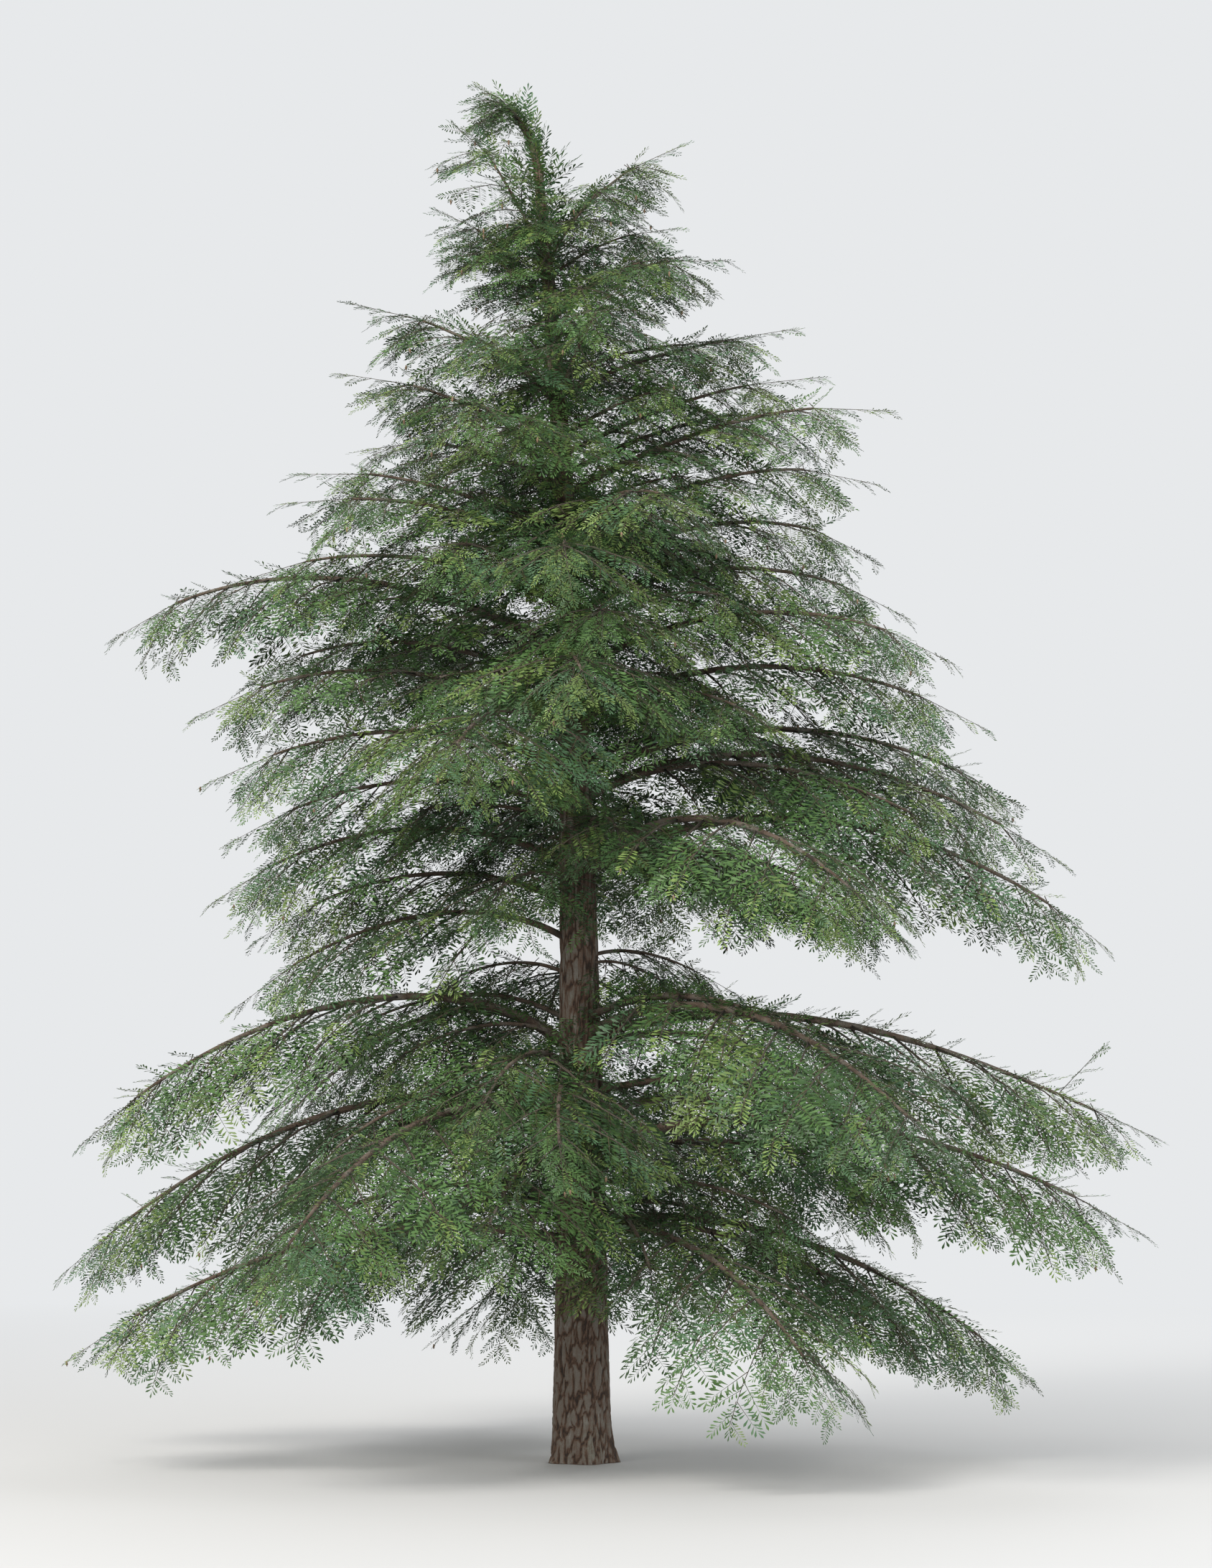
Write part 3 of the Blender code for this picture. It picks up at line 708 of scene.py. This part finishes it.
# Feathers: the finest twigs, with their needles in two ranks. A few are modelled, and thousands are placed.
feather = {
    "kinds": 8,
    "length": 0.34,
    "sag": 0.07,
    "sideBend": 0.05,  # at most, to either side
    "twigRadius": 0.0036,
    "needleLength": 0.077,
    "needleWidth": 0.25,  # as a share of its length
    "sizes": (0.78, 0.34),  # the least, and what is added along half a wave
    "sizePhases": (0.12, 0.74),  # where on that wave the twig starts, and how much of it the twig spans
    "sizeSpread": 0.10,
    # The needles of the two ranks
    "perSide": 8,
    "needleSpan": (0.05, 0.92),  # where they start along the twig, and over what share of it
    "jitter": 0.25,
    "stagger": 0.2,  # between one side and the other
    "angles": (74, 34),  # from the twig, at its foot and at its tip
    "angleCurve": 1.4,
    "angleSpread": 7,
    "tilts": (-12, 9),
    "needleRoll": 24,
    # Those that lie along the top of the twig, and the one at its end
    "onTop": 1,
    "topSpan": (0.15, 0.85),
    "topTurn": 30,
    "topTilts": (12, 28),
    "topSize": 0.62,
    "endAt": 0.97,
    "endTurn": 0.2,
}
# Where the feathers stand on a frond
standing = {
    # At the trunk and at the crown's rim: the space between feathers along a frond, and a frond's half
    # width as a share of its spray's length
    "spacings": (0.130, 0.086),
    "widths": (0.40, 0.32),
    "widestAt": 0.55,
    "widthGrowth": (0.58, 0.42),  # the share of that width at the foot, and what is added up to there
    "tipLoss": 0.62,
    "fewest": 3,
    "span": (0.08, 0.86),  # where they start along the frond, and over what share of it
    "counted": 0.9,  # the share of its reach that their count comes from
    "placeSpread": 0.3,
    "angle": 50,
    "angleSpread": 0.16,
    "droops": (0.05, 0.40),
    "roll": 22,
    "lengths": (0.20, 0.42),
    "lengthSpread": 0.18,
    "tipWidthAt": 0.8,  # the last feather is longer than the frond's half width there
    "tipLonger": 1.5,
    "tipRoll": 0.3,
}
# A needle's corners along, across and up, in lengths and widths: widest near its blunt tip, with raised edges
needleOutline = ((0, 0, 0), (0.74, -0.5, 0.15), (1, 0, 0), (0.74, 0.5, 0.15))


def needle(bm, matrix, length):
    made = bmesh.ops.create_circle(bm, cap_ends=True, segments=len(needleOutline), radius=1)
    width = length * feather["needleWidth"]
    for vert, (along, across, lift) in zip(made["verts"], needleOutline):
        vert.co = matrix @ Vector((along * length, across * width, lift * width))


def featherKind(rng):
    # lies along X with its upper side to +Z, and gives the needles and their bare twig
    length = feather["length"]
    bend = rng.uniform(-feather["sideBend"], feather["sideBend"])

    def axis(t):
        return Vector((t * length, bend * t * t * length, -feather["sag"] * t * t * length))

    bm = bmesh.new()
    count = feather["perSide"]
    start, span = feather["needleSpan"]
    least, more = feather["sizes"]
    phase, phases = feather["sizePhases"]
    for side in (-1, 1):
        for i in range(count):
            jitter = rng.uniform(-feather["jitter"], feather["jitter"])
            t = start + span * (i + 0.5 + jitter + feather["stagger"] * side) / count
            angle = blend(feather["angles"], t ** feather["angleCurve"])
            angle += rng.uniform(-feather["angleSpread"], feather["angleSpread"])
            size = feather["needleLength"] * (least + more * math.sin(math.pi * (phase + phases * t)))
            size *= varied(rng, feather["sizeSpread"])
            turn = Matrix.Rotation(math.radians(angle * side), 4, "Z")
            tilt = Matrix.Rotation(math.radians(rng.uniform(*feather["tilts"])), 4, "Y")
            rolled = rng.uniform(-feather["needleRoll"], feather["needleRoll"])
            roll = Matrix.Rotation(math.radians(rolled), 4, "X")
            needle(bm, Matrix.Translation(axis(t)) @ turn @ tilt @ roll, size)
    for i in range(feather["onTop"]):
        t = rng.uniform(*feather["topSpan"])
        turned = rng.uniform(-feather["topTurn"], feather["topTurn"])
        turn = Matrix.Rotation(math.radians(turned), 4, "Z")
        tilt = Matrix.Rotation(math.radians(-rng.uniform(*feather["topTilts"])), 4, "Y")
        needle(bm, Matrix.Translation(axis(t)) @ turn @ tilt, feather["needleLength"] * feather["topSize"])
    turn = Matrix.Rotation(rng.uniform(-feather["endTurn"], feather["endTurn"]), 4, "Z")
    needle(bm, Matrix.Translation(axis(feather["endAt"])) @ turn, feather["needleLength"])
    stem = bmesh.new()
    made = bmesh.ops.create_cone(stem, segments=3, radius1=feather["twigRadius"], radius2=0, depth=1)
    for vert in made["verts"]:
        along = vert.co.z + 0.5
        vert.co = axis(along) + Vector((0, vert.co.x, vert.co.y))
    return meshArrays(bm), meshArrays(stem)


def meshArrays(bm):
    mesh = bpy.data.meshes.new("kind")
    bm.to_mesh(mesh)
    bm.free()
    corners = np.empty(len(mesh.vertices) * 3, np.float32)
    mesh.vertices.foreach_get("co", corners)
    loops = np.empty(len(mesh.loops), np.int32)
    mesh.loops.foreach_get("vertex_index", loops)
    starts = np.empty(len(mesh.polygons), np.int32)
    mesh.polygons.foreach_get("loop_start", starts)
    bpy.data.meshes.remove(mesh)
    return corners.reshape(-1, 3), loops, starts


def joinedCopies(name, kinds, copies, looks):
    # copies are (kind, matrix, look); all become one mesh
    corners, loops, starts, materials = [], [], [], []
    vertCount = loopCount = 0
    for kind, (shape, shapeLoops, shapeStarts) in enumerate(kinds):
        chosen = [c for c in copies if c[0] == kind]
        if not chosen:
            continue
        places = np.array([c[1] for c in chosen], np.float32)
        moved = np.einsum("nij,vj->nvi", places[:, :3, :3], shape) + places[:, None, :3, 3]
        steps = np.arange(len(chosen), dtype=np.int32)[:, None]
        corners.append(moved.reshape(-1, 3))
        loops.append((shapeLoops + steps * len(shape) + vertCount).ravel())
        starts.append((shapeStarts + steps * len(shapeLoops) + loopCount).ravel())
        materials.append(np.repeat(np.array([c[2] for c in chosen], np.int32), len(shapeStarts)))
        vertCount += len(chosen) * len(shape)
        loopCount += len(chosen) * len(shapeLoops)
    mesh = bpy.data.meshes.new(name)
    mesh.vertices.add(vertCount)
    mesh.vertices.foreach_set("co", np.concatenate(corners).ravel())
    mesh.loops.add(loopCount)
    mesh.loops.foreach_set("vertex_index", np.concatenate(loops))
    starts = np.concatenate(starts)
    mesh.polygons.add(len(starts))
    mesh.polygons.foreach_set("loop_start", starts)
    mesh.polygons.foreach_set("material_index", np.concatenate(materials))
    for look in looks:
        mesh.materials.append(look.material)
    mesh.update(calc_edges=True)
    return addedPiece(name, mesh)


crown = {
    "slope": 0.42,  # its half width for each metre below the top of the cone that it fills
    "top": 12.6,
}
clear = {
    "waist": (4.14, 4.66, 0.32),  # lowest, highest and how far from the trunk no needles grow
    "foot": (0.0, 1.42, 0.52),
    "sunk": 0.02,  # what grows on the trunk starts this deep in it
    "deepest": 0.03,
    "ground": 0.10,
    "box": 0.03,
}


def isFree(place):
    if place.z < clear["ground"]:
        return False
    if any(not low - clear["box"] < p < high + clear["box"] for p, low, high in zip(place, *cadBox)):
        return False
    apart = ((place - trunkPoint(min(place.z, tree["leaderFoot"]))) * flat).length
    for low, high, near in (clear["waist"], clear["foot"]):
        if low < place.z < high and apart < near:
            return False
    return place.z > tree["leaderFoot"] or apart > trunkRadius(place.z) - clear["deepest"]


def frondPoint(frond, t):
    return frond.start * (1 - t) ** 2 + frond.bend * (2 * t * (1 - t)) + frond.tip * t * t


def frondHeading(frond, t):
    return ((frond.bend - frond.start) * (1 - t) + (frond.tip - frond.bend) * t).normalized()


def rimShare(place):
    # 0 at the trunk and 1 at the rim of the crown
    return min((place * flat).length / (crown["slope"] * (crown["top"] - place.z)), 1.0)


def halfWidth(frond, t):
    widest = blend(standing["widths"], rimShare(frond.bend)) * sprayLength(frond.reach)
    peak = standing["widestAt"]
    foot, growth = standing["widthGrowth"]
    if t < peak:
        return widest * (foot + growth * math.sin(math.pi / 2 * t / peak))
    return widest * (1 - standing["tipLoss"] * (t - peak) / (1 - peak))


def featherPlace(root, way, facing, roll, length):
    upper = (facing - way * facing.dot(way)).normalized()
    across = upper.cross(way)
    turned = Matrix((way, across, upper)).transposed().to_4x4() @ Matrix.Rotation(roll, 4, "X")
    return Matrix.Translation(root) @ turned @ Matrix.Scale(length / feather["length"], 4)


def stemFeathers(mass, rng):
    # short ones that stand on the stem and hide it from above
    first, last = mass.bare * foliage["stemFrom"], stemEnd(mass)
    spacing = foliage["stemSpacing"]
    if mass is leader:
        first, spacing = 0.0, foliage["leaderSpacing"]
    count = round(mass.length * (last - first) / spacing)
    for i in range(count):
        share = blend((first, last), (i + rng.random()) / count)
        heading = mass.heading(share)
        angle = math.radians(rng.uniform(*foliage["stemAngles"]))
        spin = 180 * i + rng.uniform(-foliage["stemTurn"], foliage["stemTurn"])
        if mass is leader:
            spin = i * bough["fillingTurn"]
        side = Matrix.Rotation(math.radians(spin), 3, heading) @ up.cross(heading).normalized()
        way = heading * math.cos(angle) + side * math.sin(angle)
        way = lowered(way, -rng.uniform(*foliage["stemRises"]))
        roll = math.radians(rng.uniform(-standing["roll"], standing["roll"]))
        length = rng.uniform(*foliage["stemLengths"]) * (1 - foliage["stemTipLoss"] * share)
        yield mass.point(share), way, up, roll, length, False


def roundTrunk(low, high, spacing, rng):
    # places just under the trunk's surface that climb it in a spiral, with the way out from each
    count = round((high - low) / spacing)
    for i in range(count):
        height = blend((low, high), (i + rng.random()) / count)
        turn = math.radians(i * bough["fillingTurn"])
        out = Vector((math.cos(turn), math.sin(turn), 0))
        yield trunkPoint(height) + out * (trunkRadius(height) - clear["sunk"]), out


def trunkFeathers(rng):
    for low, high, spacing, rises in foliage["trunkFeathers"]:
        for root, out in roundTrunk(low, high, spacing, rng):
            way = lowered(out, -rng.uniform(*rises))
            roll = math.radians(rng.uniform(-standing["roll"], standing["roll"]))
            yield root, way, up, roll, rng.uniform(*foliage["trunkLengths"]), False


def shoots(rng):
    for low, high in foliage["shootSpans"]:
        for root, out in roundTrunk(low, high, foliage["shootSpacing"], rng):
            reach = rng.uniform(*foliage["shootReaches"])
            way = lowered(out, rng.uniform(*foliage["shootDroops"]))
            bend = root + way * reach / 2
            tip = bend + lowered(way, foliage["shootBend"]) * reach / 2
            yield Frond(root, bend, tip, foliage["twigRadiusLeast"], 0.0, reach)


def feathersOn(frond, rng):
    # yields (root, way, facing, roll, length, isTip)
    spacing = blend(standing["spacings"], rimShare(frond.bend))
    count = max(standing["fewest"], round(frond.reach * standing["counted"] / spacing))
    shortest, longest = standing["lengths"]
    start, span = standing["span"]
    hand = rng.choice((-1, 1))
    for i in range(count):
        t = start + span * (i + 0.5 * varied(rng, standing["placeSpread"])) / count
        heading = frondHeading(frond, t)
        across = up.cross(heading).normalized()
        facing = Matrix.Rotation(frond.roll, 3, heading) @ heading.cross(across)
        across = facing.cross(heading)
        angle = math.radians(standing["angle"] * varied(rng, standing["angleSpread"]))
        way = heading * math.cos(angle) + across * math.sin(angle) * hand * (-1) ** i
        way = lowered(way, rng.uniform(*standing["droops"]))
        length = halfWidth(frond, t) / math.sin(angle) * varied(rng, standing["lengthSpread"])
        length = min(max(length, shortest), longest)
        roll = math.radians(rng.uniform(-standing["roll"], standing["roll"]))
        yield frondPoint(frond, t), way, facing, roll, length, False
    heading = frondHeading(frond, 1.0)
    facing = heading.cross(up.cross(heading).normalized())
    length = halfWidth(frond, standing["tipWidthAt"]) * standing["tipLonger"]
    length = min(max(length, shortest), longest)
    roll = rng.uniform(-standing["tipRoll"], standing["tipRoll"])
    yield frond.tip - heading * length, heading, facing, roll, length, True


tints = {
    "needlesDeep": (0.034, 0.074, 0.024, 1),
    "needlesGreen": (0.060, 0.122, 0.034, 1),
    "needlesBlue": (0.050, 0.106, 0.048, 1),
    "needlesOlive": (0.092, 0.140, 0.036, 1),
    "needlesFresh": (0.140, 0.205, 0.055, 1),
    # painted shade: a darker green that stands in for the shade in the heart of the crown
    "needlesPaintedShade": (0.022, 0.048, 0.016, 1),
}
tintNames = list(tints)
tintWeights = (25, 37, 16, 18, 1, 3)
dealing = {
    "strays": 0.22,  # this share of a spray's feathers have a tint of their own
    "freshTips": 0.36,
    "coneAt": 0.96,  # along a spray's last feather
    "lit": (0.30, 1.25),  # chance that a spray has its full colour and not the painted shade tint, at the trunk and at the rim
}
twigTints = {
    "twigGrey": (0.060, 0.050, 0.040, 1),
    "twigTan": (0.086, 0.062, 0.038, 1),
    "twigGreen": (0.064, 0.074, 0.032, 1),
}
finish = {
    "needles": 0.52,  # roughness
    "twiglets": 0.85,
    "cones": 0.62,
    "specular": 0.35,
}


def plainLooks(colours, kind):
    looks = []
    for name, colour in colours.items():
        look = Look(name)
        look.set(Base_Color=colour, Roughness=finish[kind], Specular_IOR_Level=finish["specular"])
        looks.append(look)
    return looks


def anyTint(rng):
    return rng.choices(range(len(tints)), tintWeights)[0]


def frondTint(frond, rng):
    # painted shade: the heart of the crown is darker than its rim, since its sprays more often get the dark
    # shade tint
    if rng.random() > blend(dealing["lit"], rimShare((frond.start + frond.tip) / 2)):
        return tintNames.index("needlesPaintedShade")
    return anyTint(rng)


needleLooks = plainLooks(tints, "needles")
twigletLooks = plainLooks(twigTints, "twiglets")
kindRng = random.Random(tree["seed"])
kinds = [featherKind(kindRng) for _ in range(feather["kinds"])]
needleKinds = [k[0] for k in kinds]
twigKinds = [k[1] for k in kinds]
masses = [leader, *mainBoughs, *shortBoughs]
needleCopies = {number: [] for number in range(len(tiers))}
twigletCopies = []
fronds = []
coneSpots = []
fresh = tintNames.index("needlesFresh")


def addFeather(tier, spot, tint, rng):
    # leaves out a feather that would grow into the trunk, the ground or a gap
    root, way, facing, roll, length, _ = spot
    kind = rng.randrange(len(kinds))
    if not (isFree(root) and isFree(root + way * length)):
        return False
    place = featherPlace(root, way, facing, roll, length)
    needleCopies[tier].append((kind, place, tint))
    twigletCopies.append((kind, place, len(twigletCopies) % len(twigTints)))
    return True


def growFrond(tier, frond, rng):
    tint = frondTint(frond, rng)
    grown = False
    for spot in feathersOn(frond, rng):
        shown = tint
        if rng.random() < dealing["strays"]:
            shown = anyTint(rng)
        root, way, _, _, length, isTip = spot
        if isTip and rng.random() < dealing["freshTips"]:
            shown = fresh
        if addFeather(tier, spot, shown, rng):
            grown = True
            if isTip:
                coneSpots.append((root + way * length * dealing["coneAt"], rng.random()))
    if grown:
        fronds.append(frond)


bm = bmesh.new()
bm.verts.layers.float.new("relief")
for number, mass in enumerate(masses):
    massRng = random.Random(tree["seed"] + number)
    rolledGrid(bm, limbRings(mass, stemEnd(mass)), bark["limbAround"], limbSurface(mass), up)
    for frond in frondsOf(mass, massRng):
        growFrond(mass.tier, frond, massRng)
    for upturned, along, rise, reach in foliage["upturned"]:
        if mass is mainBoughs[upturned]:
            growFrond(mass.tier, upturnedFrond(mass, along, rise, reach), massRng)
    for spot in stemFeathers(mass, massRng):
        addFeather(mass.tier, spot, anyTint(massRng), massRng)


def nearestTier(height):
    return min(range(len(tiers)), key=lambda number: abs(tiers[number][0] - height))


trunkRng = random.Random(tree["seed"])
for spot in trunkFeathers(trunkRng):
    addFeather(nearestTier(spot[0].z), spot, anyTint(trunkRng), trunkRng)
for frond in shoots(trunkRng):
    growFrond(nearestTier(frond.start.z), frond, trunkRng)
print("fronds:", len(fronds), "feathers:", len(twigletCopies))

limbLook = barkLook("limbBark", grain=55.0, young=0.45)
limbPiece = closedPiece(bm, "bough_bark", limbLook)
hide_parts(*(name for name in frame["nodes"] if name.startswith("bough_")))


# The fronds' own twigs
twig = {
    "taper": (0.75, 0.20),  # of the frond's radius, at its foot and at its tip
    "rings": (0.0, 0.3, 0.62, 0.94),
    "sides": 3,
    "relief": 0.5,
}


def twigSurface(frond):
    def surface(centre, out, share, turn):
        return frond.radius * blend(twig["taper"], share), twig["relief"]

    return surface


bm = bmesh.new()
bm.verts.layers.float.new("relief")
for frond in fronds:
    rings = [(frondPoint(frond, t), frondHeading(frond, t), t) for t in twig["rings"]]
    rolledGrid(bm, rings, twig["sides"], twigSurface(frond), up)
closedPiece(bm, "twigs", barkLook("twigBark", grain=70.0, young=0.9))
joinedCopies("twiglets", twigKinds, twigletCopies, twigletLooks)

for number, copies in needleCopies.items():
    piece = joinedCopies(f"needles_{number + 1}", needleKinds, copies, needleLooks)
    nodes = [name for name in frame["nodes"] if name.startswith(f"foliage_{number + 1}_")]
    if number == leader.tier:
        nodes.append("foliage_leader")
    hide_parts(*nodes)


# Cones hang from the tips of the outer sprays
cone = {
    "length": 0.048,
    "radius": 0.014,
    "rows": 4,
    "scales": 3,  # in each row
    "fullness": 0.7,  # its ends are rounder the lower this is
    "pole": 0.02,  # nearest to its ends that a ring's width is taken
    "widths": (1.15, 0.4),  # at its foot, and what is lost by its tip
    "lip": 0.66,  # a ring between two rows of scales is this much narrower
    "seam": 0.80,  # and so is the line between two scales
    "share": 0.12,  # of the sprays' tips that carry one
    "outer": 0.70,  # and only this near the crown's rim
    "spin": 90,
    "lean": 0.15,
}
coneColours = {
    "coneBrown1": (0.120, 0.074, 0.044, 1),
    "coneBrown2": (0.170, 0.112, 0.070, 1),
}


def coneKind():
    # each row of scales is a ring that flares over the next, in a spiral
    bm = bmesh.new()
    rings = cone["rows"] * 2
    made = bmesh.ops.create_grid(bm, x_segments=cone["scales"] * 2, y_segments=rings, size=1)
    foot, loss = cone["widths"]
    for vert in made["verts"]:
        column = round((vert.co.x + 1) * cone["scales"])
        row = round((vert.co.y + 1) * cone["rows"])
        t = row / rings
        swollen = math.sin(math.pi * min(max(t, cone["pole"]), 1 - cone["pole"])) ** cone["fullness"]
        lip = 1.0 if row % 2 else cone["lip"]
        bulge = 1.0 if (column + row // 2) % 2 else cone["seam"]
        radius = cone["radius"] * swollen * (foot - loss * t) * lip * bulge
        turn = math.pi * (vert.co.x + 1)
        vert.co = Vector((radius * math.cos(turn), radius * math.sin(turn), -t * cone["length"]))
    bmesh.ops.remove_doubles(bm, verts=bm.verts, dist=1e-6)
    bmesh.ops.holes_fill(bm, edges=bm.edges, sides=0)
    bmesh.ops.recalc_face_normals(bm, faces=bm.faces)
    return meshArrays(bm)


coneCopies = []
for spot, chance in coneSpots:
    if chance < cone["share"] and rimShare(spot) > cone["outer"]:
        turn = Matrix.Rotation(chance * cone["spin"], 4, "Z")
        turn = turn @ Matrix.Rotation(chance - cone["lean"], 4, "X")
        coneCopies.append((0, Matrix.Translation(spot) @ turn, int(chance * 100) % len(coneColours)))
joinedCopies("cones", [coneKind()], coneCopies, plainLooks(coneColours, "cones"))


# Floor, light and camera
studio = {
    "air": (0.80, 0.815, 0.83, 1),
    "floor": (0.445, 0.445, 0.442, 1),
    "floorRadius": 600.0,
    "floorSides": 96,
    "floorRoughness": 0.85,
    "fade": (5.0, 25.0),  # the floor turns into the air between these distances
    "cameraDistance": 46.0,
    "cameraHeight": 4.0,
    "aim": (0.21, 0.0, 5.86),
    "frameHeight": 13.6,  # what the picture takes in at the tree
    "clipEnd": 2000,
    "lightAim": (0, 0, 5.5),
    # Name, place, width, power and colour
    "lights": (
        ("key", (-16, -22, 24), 13.0, 14500, (1.0, 0.965, 0.91)),
        ("fill", (22, -18, 9), 15.0, 3800, (0.95, 0.975, 1.0)),
        ("rim", (7, 25, 17), 12.0, 3600, (1.0, 1.0, 1.0)),
    ),
}


def makeFloor():
    bm = bmesh.new()
    bmesh.ops.create_circle(bm, cap_ends=True, segments=studio["floorSides"], radius=studio["floorRadius"])
    mesh = bpy.data.meshes.new("floor")
    bm.to_mesh(mesh)
    bm.free()
    look = Look("paleFloor")
    place = look.add("ShaderNodeTexCoord", output="Object")
    apart = look.add("ShaderNodeVectorMath", {"operation": "LENGTH"}, {0: place}, "Value")
    near, far = studio["fade"]
    look.set(Base_Color=studio["floor"], Roughness=studio["floorRoughness"])
    glow = look.add("ShaderNodeEmission", None, {"Color": studio["air"]})
    shader = Sum(look, look.shader.outputs[0])
    mix = look.add("ShaderNodeMixShader", None, {0: look.between(apart, near, far), 1: shader, 2: glow})
    look.put(look.material.node_tree.nodes["Material Output"].inputs["Surface"], mix)
    mesh.materials.append(look.material)
    floor = bpy.data.objects.new("floor", mesh)
    bpy.context.scene.collection.objects.link(floor)
    floor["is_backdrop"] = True


def makeLights():
    for name, place, size, power, colour in studio["lights"]:
        light = bpy.data.lights.new(name, "AREA")
        light.shape = "DISK"
        light.size = size
        light.energy = power
        light.color = colour
        lamp = bpy.data.objects.new(name, light)
        lamp.location = place
        beam = Vector(studio["lightAim"]) - lamp.location
        lamp.rotation_euler = beam.to_track_quat("-Z", "Y").to_euler()
        bpy.context.scene.collection.objects.link(lamp)
    world = bpy.data.worlds.new("studio")
    world.use_nodes = True
    world.node_tree.nodes["Background"].inputs["Color"].default_value = studio["air"]
    bpy.context.scene.world = world


def makeCamera():
    data = bpy.data.cameras.new("camera")
    data.lens = data.sensor_width * studio["cameraDistance"] / studio["frameHeight"]
    data.clip_end = studio["clipEnd"]
    camera = bpy.data.objects.new("camera", data)
    aim = Vector(studio["aim"])
    camera.location = (aim.x, -studio["cameraDistance"], studio["cameraHeight"])
    camera.rotation_euler = (aim - camera.location).to_track_quat("-Z", "Y").to_euler()
    bpy.context.scene.collection.objects.link(camera)
    bpy.context.scene.camera = camera


makeFloor()
makeLights()
makeCamera()
bpy.context.scene.view_settings.view_transform = "Standard"
print("studio ready")

boxes = {"cad": cadBox, "visual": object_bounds()}
{key: [list(corner) for corner in box] for key, box in boxes.items()}
